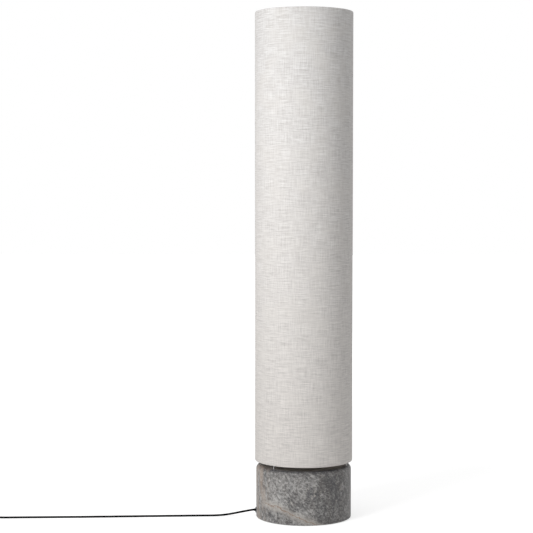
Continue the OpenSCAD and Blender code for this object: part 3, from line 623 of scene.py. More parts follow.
@dataclass(frozen=True)
class WovenLinen:
    """Slubby plain-weave linen on a stiff backing, read from the UV map in metres.

    The real threads are about 0.5 mm thick and their weave is too fine for the frame. It is drawn
    at more than twice that, and the slubs, the thick places in the yarn, carry the look: long ones
    round the shade in the weft, and fewer upright ones in the warp.
    """

    name: str = "linen_slub_woven"
    # The darker tone of the low yarn and the weave's hollows, partly painted shade
    hollow_shade_tone: str = "#bab6b3"
    foot_tone: str = "#eae5e0"
    top_tone: str = "#eae9e8"
    warm_tone: str = "#d9d5d0"
    thread_mm: float = 1.2
    slub_mm: float = 2.3
    slub_length_mm: float = 42.0
    height_mm: float = 0.22
    weave_share: float = 0.07
    wobble_mm: tuple[float, float] = (30, 4)
    patch_mm: float = 70

    def yarn(self, add: Adder, drawn: Source) -> Source:
        """Lay slubs into the yarn: long and short ones in the weft, and upright ones in the warp.

        Args:
            add: the call that adds a node.
            drawn: the place on the cloth, in metres.

        Returns:
            The yarn's thickness.
        """
        long, thick = self.slub_length_mm, self.slub_mm
        slubs = []
        for across, along, detail, seed in (
            (long, thick, 3.0, 0.0), (long * 0.4, thick * 0.6, 2.0, 3.7), (thick, long * 0.8, 2.0, 9.1),
        ):
            scale = (1 / (across * MM), 1 / (along * MM), 1)
            at = add("ShaderNodeMapping", {"Vector": drawn, "Scale": scale, "Location": (seed, seed, 0)})
            slubs.append(add(NOISE, {"Vector": at, "Scale": 1.0, "Detail": detail, "Roughness": 0.55},
                             noise_dimensions="2D"))
        weft = add(MIX, {"Factor": 0.35, 2: slubs[0], 3: slubs[1]})
        return add(MIX, {"Factor": 0.3, 2: weft, 3: slubs[2]})

    def build(self) -> bpy.types.Material:
        """Return the material."""
        material, add, shader = open_material(self.name)
        seen = add("ShaderNodeUVMap", uv_map="UVMap").outputs[0]
        size_mm, reach_mm = self.wobble_mm
        wobble = add(NOISE, {"Vector": seen, "Scale": 1 / (size_mm * MM), "Detail": 2.0}).outputs[1]
        wobble = add(VECTOR_MATH, {0: wobble, 1: (0.5, 0.5, 0.5)}, operation="SUBTRACT")
        drawn = add(VECTOR_MATH, {0: wobble, 1: (reach_mm * MM,) * 3, 2: seen}, operation="MULTIPLY_ADD")
        yarn = self.yarn(add, drawn)
        at = add(VECTOR_MATH, {0: drawn, "Scale": math.pi / (self.thread_mm * MM)}, operation="SCALE")
        crossing = add(VECTOR_MATH, {0: at}, operation="SINE")
        weft_wave, warp_wave, _ = add("ShaderNodeSeparateXYZ", {0: crossing}).outputs
        over = add(MATH, {0: weft_wave, 1: warp_wave}, operation="MULTIPLY")
        height = add(MATH, {0: over, 1: self.weave_share, 2: yarn}, operation="MULTIPLY_ADD")
        run = add("ShaderNodeSeparateXYZ", {0: seen}).outputs[1]
        patch = add(NOISE, {"Vector": seen, "Scale": 1 / (self.patch_mm * MM), "Detail": 2.0})
        # Colour follows the cloth's height: high yarn takes the light tones, low yarn and the weave's hollows
        # the darker tone, partly the yarn's own unevenness and partly painted shade
        tone = add(MAP_RANGE, {"Value": height, "From Min": 0.3, "From Max": 0.7})
        warmth = add(MAP_RANGE, {"Value": patch, "From Min": 0.42, "From Max": 0.68, "To Max": 0.35})
        light = add(MIX, {"Factor": run, 6: linear(self.foot_tone), 7: linear(self.top_tone)},
                    data_type="RGBA")
        colour = add(MIX, {"Factor": tone, 6: linear(self.hollow_shade_tone), 7: light}, data_type="RGBA")
        colour = add(MIX, {"Factor": warmth, 6: colour, 7: linear(self.warm_tone)}, data_type="RGBA")
        feed(shader, {
            "Base Color": colour, "Roughness": 0.92, "Specular IOR Level": 0.2, "Sheen Weight": 0.12,
            "Normal": add(BUMP, {"Height": height, "Distance": self.height_mm * MM}),
        })
        return material


@dataclass(frozen=True)
class HonedStone:
    """Grey marble-like stone, sawn and honed: cloudy, flecked and pocked with light, and veined once.

    The grey drifts in clouds a few centimetres wide, broken by mottling of about a centimetre and
    by flecks of a few millimetres, both drawn out along a bed that dips to the right. Warm upright
    streaks cross the left side, the right side is darker with darker patches and light pocks, and
    one thin rusty vein falls from the left towards the foot inside a paler band. The darker right
    side and a dark band along the top edge are painted shade, and the paler middle of the top face
    is painted light.
    """

    name: str = "grey_stone_honed"
    dark: str = "#4b4a4a"
    middle: str = "#767574"
    light: str = "#b5b3b1"
    warm: str = "#9a897b"
    deep: str = "#3d3d41"
    pock: str = "#b8b2ab"
    pale: str = "#b9b3ac"
    # The pale tone of the painted light on the middle of the top face
    sawn: str = "#dfd5ca"
    vein: str = "#7b6351"
    stops: tuple[float, float, float] = (0.42, 0.485, 0.575)
    radius_mm: float = 113.5
    bed_dip_deg: float = 40.0
    bed_stretch: float = 1.5
    pock_mm: float = 9
    ragged_mm: float = 50
    sway_mm: float = 24
    vein_run_deg: tuple[float, float, float, float] = (-60, -31, 20, 25)
    vein_high_mm: tuple[float, float, float] = (46, 39.3, -2.5)
    vein_fades_deg: float = 8
    ior: float = 1.5
    height_mm: float = 0.14

    # Each noise: the space that it is read in, the width of its coarsest blots in millimetres,
    # its detail, its roughness and its distortion
    noises: tuple[tuple[str, str, float, float, float, float], ...] = (
        ("clouds", "plain", 60, 4, 0.6, 0.0), ("mottle", "bedded", 13.5, 6, 0.68, 0.0),
        ("flecks", "bedded", 5.8, 5, 0.7, 0.6), ("warp", "plain", 22, 3, 0.6, 0.0),
        ("worms", "bedded", 7, 3, 0.55, 0.4), ("streaks", "upright", 15, 4, 0.6, 0.0),
        ("sway", "plain", 15, 6, 0.68, 0.0),
    )
    # Each dark patch: its azimuth in degrees, its height and radius in millimetres, its strength
    patches: tuple[tuple[float, float, float, float], ...] = (
        (9, 76, 22, 0.85), (36, 92, 27, 0.6), (46, 60, 24, 0.45), (-41, 16, 20, 0.5),
    )

    def measures(self, add: Adder, seen: Source) -> Sources:
        """Return the noises, and what tells one part of the stone from another.

        Args:
            add: the call that adds a node.
            seen: the place on the stone, in metres.

        Returns:
            By name: the noises, the height, the azimuth from the front towards the right in
            degrees, the distance from the axis, how far a noise is off its middle level, along
            which the light marks like worms run, the place with ragged edges, and coarse cells.
        """
        dip = (0.0, math.radians(self.bed_dip_deg), 0.0)
        spaces = {
            "plain": seen, "upright": add("ShaderNodeMapping", {"Vector": seen, "Scale": (1, 1, 0.2)}),
            "bedded": add("ShaderNodeMapping", {
                "Vector": seen, "Rotation": dip, "Scale": (self.bed_stretch, 1.0, 1.0),
            }, vector_type="TEXTURE"),
        }
        found = {}
        for label, space, size_mm, detail, rough, distortion in self.noises:
            found[label] = add(NOISE, {
                "Vector": spaces[space], "Scale": 1 / (size_mm * MM), "Detail": detail, "Roughness": rough,
                "Distortion": distortion,
            })
        x, y, found["z"] = add("ShaderNodeSeparateXYZ", {0: seen}).outputs
        forward = add(MATH, {0: y, 1: -1.0}, operation="MULTIPLY")
        azimuth = add(MATH, {0: x, 1: forward}, operation="ARCTAN2")
        found["azimuth"] = add(MATH, {0: azimuth}, operation="DEGREES")
        level = add(VECTOR_MATH, {0: seen, 1: (1.0, 1.0, 0.0)}, operation="MULTIPLY")
        found["from_axis"] = add(VECTOR_MATH, {0: level}, operation="LENGTH")
        off_level = add(MATH, {0: found["worms"], 1: 0.5}, operation="SUBTRACT")
        found["off_level"] = add(MATH, {0: off_level}, operation="ABSOLUTE")
        ragged = add(VECTOR_MATH, {0: found["warp"].outputs[1], 1: (0.5, 0.5, 0.5)}, operation="SUBTRACT")
        reach = (self.ragged_mm * MM,) * 3
        found["ragged"] = add(VECTOR_MATH, {0: ragged, 1: reach, 2: seen}, operation="MULTIPLY_ADD")
        cells = {"Vector": found["ragged"], "Scale": 1 / (self.pock_mm * MM)}
        found["cells"] = add("ShaderNodeTexVoronoi", cells)
        return found

    def shares(self, add: Adder, found: Sources) -> Sources:
        """Return how much of each mark shows, by name.

        Args:
            add: the call that adds a node.
            found: the stone's measures.

        Returns:
            A share for each row below: the measure that it reads, the stretch that it follows,
            the share at either end of it, and whether it eases in and out.
        """
        begins, bends, foot, ends = self.vein_run_deg
        high, middle, low = self.vein_high_mm
        rows = (
            # Painted shade: the side turned away from the key light is made darker
            ("painted_shade_right", "azimuth", (-25.0, 45.0), (0.012, 0.09), True),
            # Painted shade: a band just under the top edge, where the shade's rim shadows the stone
            ("painted_shade_under_rim", "z", (117 * MM, 125 * MM), (0.0, 0.1), True),
            # Painted shade: the top arris and the rim of the top face go to the deep grey under the shade's
            # rim
            ("edge", "z", (120.5 * MM, 126 * MM), (0.0, 0.85), True),
            ("worms", "off_level", (0.035, 0.005), (0.0, 0.5), False),
            ("streaks", "streaks", (0.4, 0.55), (0.0, 1.0), False),
            ("left_side", "azimuth", (-42.0, -62.0), (0.05, 0.65), True),
            ("behind", "azimuth", (-110.0, -75.0), (0.3, 1.0), True),
            ("broken", "flecks", (0.38, 0.62), (1.0, 0.35), False),
            ("pocks", "cells", (0.4, 0.2), (0.0, 1.0), False),
            ("loose", "warp", (0.5, 0.62), (0.0, 0.5), False),
            ("vein_leans", "azimuth", (begins, bends), (high * MM, middle * MM), False),
            ("vein_drops", "azimuth", (bends, foot), (0.0, (middle - low) * MM), False),
            ("vein_begins", "azimuth", (begins, begins + self.vein_fades_deg), (0.0, 1.0), False),
            ("vein_ends", "azimuth", (ends, foot), (0.0, 1.0), False),
            # Painted light: the middle of the top face, fading out towards its rim
            ("painted_light_mid_top", "from_axis", (112 * MM, 86 * MM), (0.0, 0.95), True),
            ("on_top", "z", (126.2 * MM, 126.9 * MM), (0.0, 1.0), False),
            ("gloss", "flecks", (0.0, 1.0), (0.4, 0.66), False),
        )
        return {
            label: add(MAP_RANGE, {
                "Value": found[measure], "From Min": span[0], "From Max": span[1], "To Min": share[0],
                "To Max": share[1],
            }, interpolation_type="SMOOTHSTEP" if eased else "LINEAR")
            for label, measure, span, share, eased in rows
        }

    def ground(self, add: Adder, found: Sources, share: Sources) -> Source:
        """Mix the stone's grey, with painted shade on the right and close under its top edge.

        Args:
            add: the call that adds a node.
            found: the stone's measures.
            share: how much of each mark shows.

        Returns:
            The grey.
        """
        mixed = add(MIX, {"Factor": 0.55, 2: found["clouds"], 3: found["mottle"]})
        mixed = add(MIX, {"Factor": 0.5, 2: mixed, 3: found["flecks"]})
        # Painted shade: the grey is lowered on the right side and in a band just under the top edge
        for label in ("painted_shade_right", "painted_shade_under_rim"):
            mixed = add(MATH, {0: mixed, 1: share[label]}, operation="SUBTRACT")
        ramp = add("ShaderNodeValToRGB", {0: mixed})
        elements = ramp.color_ramp.elements
        low, middle, high = self.stops
        elements[0].position, elements[0].color = low, linear(self.dark)
        elements[1].position, elements[1].color = high, linear(self.light)
        elements.new(middle).color = linear(self.middle)
        return ramp

    def layers(self, add: Adder, found: Sources, share: Sources) -> list[tuple[Source, str]]:
        """Return the marks that lie on the ground.

        Args:
            add: the call that adds a node.
            found: the stone's measures.
            share: how much of each mark shows.

        Returns:
            How much of each layer shows, and its colour, from the lowest up.
        """
        leftness = add(MATH, {0: share["left_side"], 1: share["behind"]}, operation="MULTIPLY")
        warmth = add(MATH, {0: share["streaks"], 1: leftness}, operation="MULTIPLY")
        # The first layer is painted shade on the top arris, in the deep grey
        laid = [(share["edge"], self.deep), (share["worms"], self.light), (warmth, self.warm)]

        spots = []
        for turn, height, size, strength in self.patches:
            a = math.radians(turn)
            centre = Vector((self.radius_mm * math.sin(a), -self.radius_mm * math.cos(a), height)) * MM
            far = add(VECTOR_MATH, {0: found["ragged"], 1: centre}, operation="DISTANCE")
            spots.append(add(MAP_RANGE, {
                "Value": far, "From Min": size * MM, "From Max": 0.3 * size * MM, "To Max": strength,
            }, interpolation_type="SMOOTHSTEP"))
            laid.append((add(MATH, {0: spots[-1], 1: share["broken"]}, operation="MULTIPLY"), self.deep))

        # Light pocks: the small cores of coarse cells, in the first patch and wherever the stone is loose
        loose = add(MATH, {0: share["loose"], 1: spots[0]}, operation="MAXIMUM")
        laid.append((add(MATH, {0: share["pocks"], 1: loose}, operation="MULTIPLY"), self.pock))

        # The vein: level on the left, then falling to the foot, inside a paler band
        falls = add(MATH, {0: share["vein_leans"], 1: share["vein_drops"]}, operation="SUBTRACT")
        sway = add(MATH, {0: found["sway"], 1: 0.5}, operation="SUBTRACT")
        wanders = add(MATH, {0: sway, 1: self.sway_mm * MM, 2: falls}, operation="MULTIPLY_ADD")
        off_vein = add(MATH, {0: wanders, 1: found["z"]}, operation="SUBTRACT")
        off_vein = add(MATH, {0: off_vein}, operation="ABSOLUTE")
        shown = add(MATH, {0: share["vein_begins"], 1: share["vein_ends"]}, operation="MULTIPLY")
        for reach_mm, core_mm, strength, tone in ((14, 2, 0.6, self.pale), (1.5, 0.2, 0.9, self.vein)):
            line = add(MAP_RANGE, {
                "Value": off_vein, "From Min": reach_mm * MM, "From Max": core_mm * MM, "To Max": strength,
            })
            laid.append((add(MATH, {0: line, 1: shown}, operation="MULTIPLY"), tone))

        # Painted light: the middle of the top face, seen through the gap under the shade, is paler, in the
        # tone named sawn
        sawn = add(MATH, {0: share["painted_light_mid_top"], 1: share["on_top"]}, operation="MULTIPLY")
        return [*laid, (sawn, self.sawn)]

    def build(self) -> bpy.types.Material:
        """Return the material."""
        material, add, shader = open_material(self.name)
        found = self.measures(add, add("ShaderNodeTexCoord").outputs["Object"])
        share = self.shares(add, found)
        colour = self.ground(add, found, share)
        for amount, tone in self.layers(add, found, share):
            colour = add(MIX, {"Factor": amount, 6: colour, 7: linear(tone)}, data_type="RGBA")
        worn = add(MATH, {0: found["mottle"], 1: 2.0, 2: found["flecks"]}, operation="MULTIPLY_ADD")
        feed(shader, {
            "Base Color": colour, "Roughness": share["gloss"], "IOR": self.ior,
            "Normal": add(BUMP, {"Height": worn, "Distance": self.height_mm * MM}),
        })
        return material


@dataclass(frozen=True)
class PressedFelt:
    """Dark wool felt, pressed: short fibres lying every way, so it is quite without gloss."""

    name: str = "wool_felt_pressed"
    colour: str = "#2b2b2d"
    fibre: str = "#444447"
    fibre_mm: float = 1.4
    height_mm: float = 0.3

    def build(self) -> bpy.types.Material:
        """Return the material."""
        material, add, shader = open_material(self.name)
        seen = add("ShaderNodeTexCoord").outputs["Object"]
        tangled = add(NOISE, {
            "Vector": seen, "Scale": 1 / (self.fibre_mm * MM), "Detail": 6.0, "Roughness": 0.7,
            "Distortion": 2.0,
        })
        tone = add(MAP_RANGE, {"Value": tangled, "From Min": 0.35, "From Max": 0.65})
        feed(shader, {
            "Base Color": add(MIX, {"Factor": tone, 6: linear(self.colour), 7: linear(self.fibre)},
                              data_type="RGBA"),
            "Roughness": 0.95, "Sheen Weight": 0.4,
            "Normal": add(BUMP, {"Height": tangled, "Distance": self.height_mm * MM}),
        })
        return material


# Each slot's finish. A moulded plastic shows a soft even gloss with a faint spark-eroded grain, a
# powder coat an orange-peel gloss, zinc plate a cool uneven brightness, and turned brass fine rings.
FINISHES = {
    "linen": WovenLinen(),
    "lining": Surface("pvc_lining_calendered", "#efeeea", "#e7e5df", 0.55, grain_mm=1.5),
    "stone": HonedStone(),
    "felt": PressedFelt(),
    "rubber": Surface("rubber_moulded", "#0f0f10", "#161617", 0.75, grain_mm=0.7, height_mm=0.05,
                      specular=0.12),
    "zinc_steel": Surface("steel_zinc_plated", "#989796", "#888786", 0.42, 0.1, 1.0, grain_mm=1.2),
    "white_wire": Surface("steel_white_powder_coat", "#ebeae6", "#e1dfda", 0.42, grain_mm=1.6,
                          height_mm=0.06),
    "black_steel": Surface("steel_dark_powder_coat", "#33302d", "#2b2826", 0.5, grain_mm=1.4,
                           height_mm=0.06),
    "brass": Surface("brass_turned", "#c3a469", "#b1935a", 0.28, 0.1, 1.0, Grain.ROUND, 0.5, 0.02),
    "black_plastic": Surface("abs_black_moulded", "#0e0e0f", "#151517", 0.46, grain_mm=0.6, specular=0.25),
    "white_plastic": Surface("pbt_white_moulded", "#efeee9", "#e6e4dd", 0.42, grain_mm=0.9),
    "opal": Surface("polycarbonate_opal_moulded", "#f4f2ec", "#ebe8e0", 0.3, 0.04, grain_mm=2.0, coat=0.3),
    "nickel": Surface("nickel_plated_pressed", "#c9c6bf", "#b7b3aa", 0.24, 0.08, 1.0, Grain.ROUND, 0.7, 0.02),
    "circuit_board": Surface("glass_epoxy_lacquered", "#1f5a34", "#18482a", 0.35, grain_mm=0.8, coat=0.5),
    "cord_sheath": Surface("pvc_sheath_extruded", "#070708", "#0c0c0d", 0.7, grain_mm=0.9, specular=0.08),
    "core_wires": Surface("pvc_core_extruded", "#e9e7e1", "#dedbd3", 0.4, grain_mm=0.9),
}
BUILT = {slot: finish.build() for slot, finish in FINISHES.items()}


# ---- shade ----


@dataclass
class Shade:
    """The linen skin on its stiff lining, turned in over the wire ring at both rims."""

    radius: float = 116.0
    foot_z: float = 137.0
    top_z: float = 1200.0
    linen_t: float = 1.0
    hem_ri: float = 109.0
    tuck_ri: float = 113.1
    hem_drop: float = 5.2
    tuck_drop: float = 5.0
    hem_w: float = 14.0
    lap_mm: float = 12.0
    columns: int = 203
    arm_slot_mm: float = 5.0
    arm_slot_below_top: tuple[float, float] = (12.0, 1.5)
    lug_slot_mm: float = 12.6
    lug_slot_above_foot: tuple[float, float] = (1.5, 6.0)
    slot_play: float = 1.0

    def section(self) -> HalfSection:
        """Return the outer face of the cloth, from the foot's tucked edge round to the top's."""
        def hem(rim: float, way: int) -> list[tuple[float, float, float]]:
            """Return the corners from the rim at that height to the tucked edge, up or down from it."""
            bottom, tuck = rim + way * self.hem_drop, self.tuck_ri
            return [
                (self.radius, rim, 1.6), (self.hem_ri, rim, 1.6), (self.hem_ri, bottom, 1.5),
                (tuck, bottom + way * self.tuck_drop, 1.5), (tuck, bottom + way * self.hem_w, 0),
            ]
        corners = hem(self.foot_z, 1)[::-1] + hem(self.top_z, -1)
        return HalfSection(corners, longest=8.0, arc_steps=3)

    def slots(self, cloth: bpy.types.Mesh) -> None:
        """Open the hem where the spider's arms and the foot ring's lugs pass through it.

        Args:
            cloth: the skin's mesh, before it gets its thickness.
        """
        shell = bmesh.new()
        shell.from_mesh(cloth)
        doomed = []
        (deep, shallow), (low, high) = self.arm_slot_below_top, self.lug_slot_above_foot
        for face in shell.faces:
            x, y, z = face.calc_center_median() / MM
            inside = math.hypot(x, y) < self.tuck_ri - self.linen_t / 2
            top = self.top_z - deep < z < self.top_z - shallow
            foot = self.foot_z + low < z < self.foot_z + high
            if not inside or not (top or foot):
                continue
            half = (self.arm_slot_mm if top else self.lug_slot_mm) / 2 + self.slot_play
            for azimuth in ARM_AZIMUTHS:
                a = math.radians(azimuth)
                out = x * math.sin(a) - y * math.cos(a)
                if out > 0 and abs(x * math.cos(a) + y * math.sin(a)) < half:
                    doomed.append(face)
        bmesh.ops.delete(shell, geom=doomed, context="FACES")
        shell.to_mesh(cloth)
        shell.free()

    def build(self) -> None:
        section = self.section()
        lap = self.lap_mm / self.radius
        girth = (math.tau + lap) * self.radius * MM
        skin = turned("linen_skin", section, BUILT["linen"], self.columns, Girth=girth, Lap_Angle=lap,
                      Lap_Step=(self.linen_t + 0.1) * MM, Relief=0.35 * MM, Relief_Size=70 * MM)
        self.slots(skin.data)
        wall = skin.modifiers.new("cloth", "SOLIDIFY")
        wall.thickness = self.linen_t * MM
        wall.offset = -1
        skin = as_plain_mesh(skin, "linen_skin")
        run = section.runs()[-1]
        hand_over(skin, "shade", "linen", "shade_linen")
        LOG.info("linen cut %.3f x %.3f m", girth, run)


# ---- stone ----


@dataclass
class StoneDrum:
    """The drum, hollowed from below for the wiring, with its felt pad."""

    radius: float = 113.5
    foot_z: float = 1.0
    top_z: float = 127.0
    top_arris: float = 11.0
    foot_arris: float = 2.0
    hollow_r: float = 60.0
    hollow_z: float = 35.0
    cover_r: float = 73.1
    cover_z: float = 5.0
    felt_r: float = 102.5
    felt_t: float = 3.0
    nipple_r: float = 7.0
    cord_z: float = 15.2
    pin_circle_r: float = 103.0
    pin_foot_z: float = 114.9
    cover_circle_r: float = 66.5

    def cutters(self) -> list[tuple[float, float, Vector, Vector]]:
        """Return radius, length, start and direction of each hole, in millimetres."""
        out, up = Vector((-1, 0, 0)), Vector((0, 0, 1))
        holes = [
            (4.6, 70, Vector((-50, 0, self.cord_z)), out), (7.25, 10, Vector((-113, 0, self.cord_z)), out),
        ]
        for azimuth in ARM_AZIMUTHS:
            a = math.radians(azimuth)
            foot = (self.pin_circle_r * math.sin(a), -self.pin_circle_r * math.cos(a), self.pin_foot_z)
            holes.append((2.6, 13, Vector(foot), up))
        for i in range(3):
            a = math.radians(90 + i * 120)
            foot = (self.cover_circle_r * math.cos(a), self.cover_circle_r * math.sin(a), 4)
            holes.append((3.3, 11.1, Vector(foot), up))
        return holes

    def build(self) -> None:
        """Make the drum and the pad."""
        section = HalfSection([
            (self.nipple_r, self.hollow_z, 0), (self.hollow_r, self.hollow_z, 0),
            (self.hollow_r, self.cover_z, 0), (self.cover_r, self.cover_z, 0), (self.cover_r, self.felt_t, 0),
            (self.felt_r + 0.5, self.felt_t, 0), (self.felt_r + 0.5, self.foot_z, 0),
            (self.radius, self.foot_z, self.foot_arris), (self.radius, self.top_z, self.top_arris),
            (self.nipple_r, self.top_z, 0), (self.nipple_r, self.hollow_z, 0),
        ], longest=3.0, arc_steps=9)
        drum = turned("stone_drum", section, BUILT["stone"], 240, Relief=-0.18 * MM, Relief_Size=9 * MM)
        drum = drilled(drum, "stone_drum", self.cutters())
        hand_over(drum, "base", "stone", "stone_base")

        pad = turned("felt_disc", HalfSection([
            (0, 0, 0), (self.felt_r, 0, 0.8), (self.felt_r, self.felt_t, 0.8), (0, self.felt_t, 0),
        ]), BUILT["felt"], 120)
        hand_over(pad, "base", "felt", "felt_pad")


# ---- finial, holders and bulbs ----


@dataclass
class Finial:
    """The knurled brass nut that holds the shade down."""

    radius: float = 8.0
    foot_z: float = 1177.0
    height: float = 18.0
    bore_r: float = 3.3
    bore_h: float = 11.3
    knurl_count: int = 36
    knurl_pitch: float = 1.4

    def build(self) -> None:
        """Turn the nut and knurl its side."""
        z0, z1, r = self.foot_z, self.foot_z + self.height, self.radius
        section = HalfSection([
            (0, z0 + self.bore_h, 0), (self.bore_r, z0 + self.bore_h, 0), (self.bore_r, z0, 0),
            (r - 1.5, z0, 0.3), (r - 1.5, z0 + 2, 0), (r, z0 + 2, 0.4), (r, z1 - 2, 0.6), (r - 2.5, z1, 0.8),
            (0, z1, 0),
        ], longest=0.25, gripped=(5,))
        nut = turned("finial_nut", section, BUILT["brass"], 216, Count=self.knurl_count,
                     Pitch=self.knurl_pitch * MM, Depth=0.35 * MM, Crossed=1.0)
        hand_over(nut, "finial", "brass", "finial")


@dataclass
class Lampholder:
    """A black moulded lampholder on its bracket, with the globe bulb screwed into it."""

    which: str
    x: float
    z: float
    radius: float = 19.5
    foot_r: float = 14.0
    base_h: float = 20.0
    top: float = 52.0
    socket_r: float = 13.4
    cap_r: float = 13.1
    play: float = 0.3
    globe_r: float = 30.0
    globe_z: float = 98.0
    globe_cut: float = 84.5

    def cup(self) -> HalfSection:
        """Return the base: a nipple below a ribbed cup."""
        r, h = self.radius, self.base_h
        return HalfSection([
            (3, -8, 0), (5, -8, 0.3), (5, 0, 0), (self.foot_r, 0, 1), (r, h / 2, 1), (r, h, 0.4),
            (r - 4, h, 0), (r - 4, h - 8, 0), (3, h - 8, 0), (3, -8, 0),
        ], longest=2.0, gripped=(3, 4))

    def shell(self) -> HalfSection:
        """Return the upper shell: a rim, and a thread for a shade ring above it."""
        r, z, s = self.radius, self.base_h, self.socket_r
        return HalfSection([
            (s, z, 0), (r, z, 0.4), (r, z + 18, 0), (r + 1.5, z + 18, 0.6), (r + 1.5, z + 22, 0.6),
            (r, z + 22, 0), (r, self.top, 0.6), (s, self.top, 0.6), (s, z, 0),
        ], longest=0.45, gripped=(5,))

    def cap(self) -> HalfSection:
        """Return the bulb's cap: a contact, a shoulder and the rolled thread."""
        r, tip, end = self.cap_r, self.base_h + self.play, self.top + self.play
        return HalfSection([
            (0, tip, 0), (4.5, tip, 0.6), (9, tip + 3, 0.5), (r, tip + 5.2, 0.8), (r, end - 2.8, 0.3),
            (r, end, 0), (0, end, 0),
        ], longest=0.5, gripped=(3,))

    def housing(self) -> HalfSection:
        """Return the bulb's white neck, which widens to the globe."""
        low, r, cut_z = self.top + self.play, self.cap_r + 0.9, self.globe_cut
        cut_r = math.sqrt(self.globe_r**2 - (self.globe_z - cut_z) ** 2)
        return HalfSection([(0, low, 0), (r, low, 0.5), (r, low + 4, 3), (cut_r, cut_z, 0.3), (0, cut_z, 0)])

    def globe(self) -> HalfSection:
        """Return the opal globe above the neck."""
        start = -math.asin((self.globe_z - self.globe_cut) / self.globe_r)
        steps = 22
        angles = [start + (math.pi / 2 - start) * k / steps for k in range(steps)]
        arc = [(self.globe_r * math.cos(a), self.globe_z + self.globe_r * math.sin(a), 0) for a in angles]
        return HalfSection([(0, self.globe_cut, 0), *arc, (0, self.globe_z + self.globe_r, 0)])

    def build(self) -> None:
        """Make the holder's two mouldings, and the bulb's three parts on their own body."""
        bulb = f"{self.which}_bulb"
        rows = (
            ("holder_cup", self.cup(), 80, "base", "black_plastic", "holder_base",
             {"Count": 40.0, "Pitch": 1.0, "Depth": 0.5 * MM}),
            ("holder_sleeve", self.shell(), 96, "base", "black_plastic", "holder_shell",
             {"Pitch": 2.5 * MM, "Depth": 0.6 * MM}),
            ("bulb_thread", self.cap(), 96, bulb, "nickel", "cap", {"Pitch": 3.62 * MM, "Depth": 1.1 * MM}),
            ("bulb_neck", self.housing(), 96, bulb, "white_plastic", "housing", {}),
            ("bulb_opal", self.globe(), 96, bulb, "opal", "globe", {}),
        )
        spot = Matrix.Translation(Vector((self.x, 0, self.z)) * MM)
        for label, section, columns, body, slot, node, cut in rows:
            piece = place(turned(f"{label}_{self.which}", section, BUILT[slot], columns, **cut), spot)
            stands_for = f"bulb_{self.which}_{node}" if body == bulb else f"{node}_{self.which}"
            hand_over(piece, body, slot, stands_for)


# ---- eased edges ----

EASED_MM = {
    "foot_plate": 0.8, "bracket_lower": 0.4, "bracket_upper": 0.4, "stem_tube": 0.3, "stem_cap": 0.3,
    "top_frame": 0.25, "bottom_frame": 0.25, "finial_washer": 0.15, "locating_pins": 0.3,
    "holder_nuts": 0.3, "bracket_screws": 0.25, "cover_plate": 0.3, "cover_screws": 0.2,
    "cord_anchor": 0.4, "terminal_block": 0.4, "switch_lower_shell": 0.35,
}
MERGE_MM, FLAT_DEG, EASED_FROM_DEG = 0.002, 1.0, 40.0


def ease_edges() -> dict[str, bpy.types.Object]:
    """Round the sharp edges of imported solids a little, as pressing, turning and moulding leave them.

    Returns:
        The eased pieces by the node that each stands for.
    """
    made = {}
    for node, width in EASED_MM.items():
        mesh = NODES[node].data.copy()
        shell = bmesh.new()
        shell.from_mesh(mesh)
        bmesh.ops.remove_doubles(shell, verts=shell.verts, dist=MERGE_MM * MM)
        bmesh.ops.dissolve_limit(shell, angle_limit=math.radians(FLAT_DEG), verts=shell.verts,
                                 edges=shell.edges)
        for face in shell.faces:
            face.smooth = True
        shell.to_mesh(mesh)
        shell.free()
        piece = add_object(f"{node}_eased", mesh)
        bevel = piece.modifiers.new("eased", "BEVEL")
        bevel.width, bevel.segments = width * MM, 2
        bevel.limit_method, bevel.angle_limit = "ANGLE", math.radians(EASED_FROM_DEG)
        piece = as_plain_mesh(piece, f"{node}_eased")
        made[node] = hand_over(piece, BODY_OF[node], SLOT_OF[node], node)
    return made


# ---- the lead's fittings ----


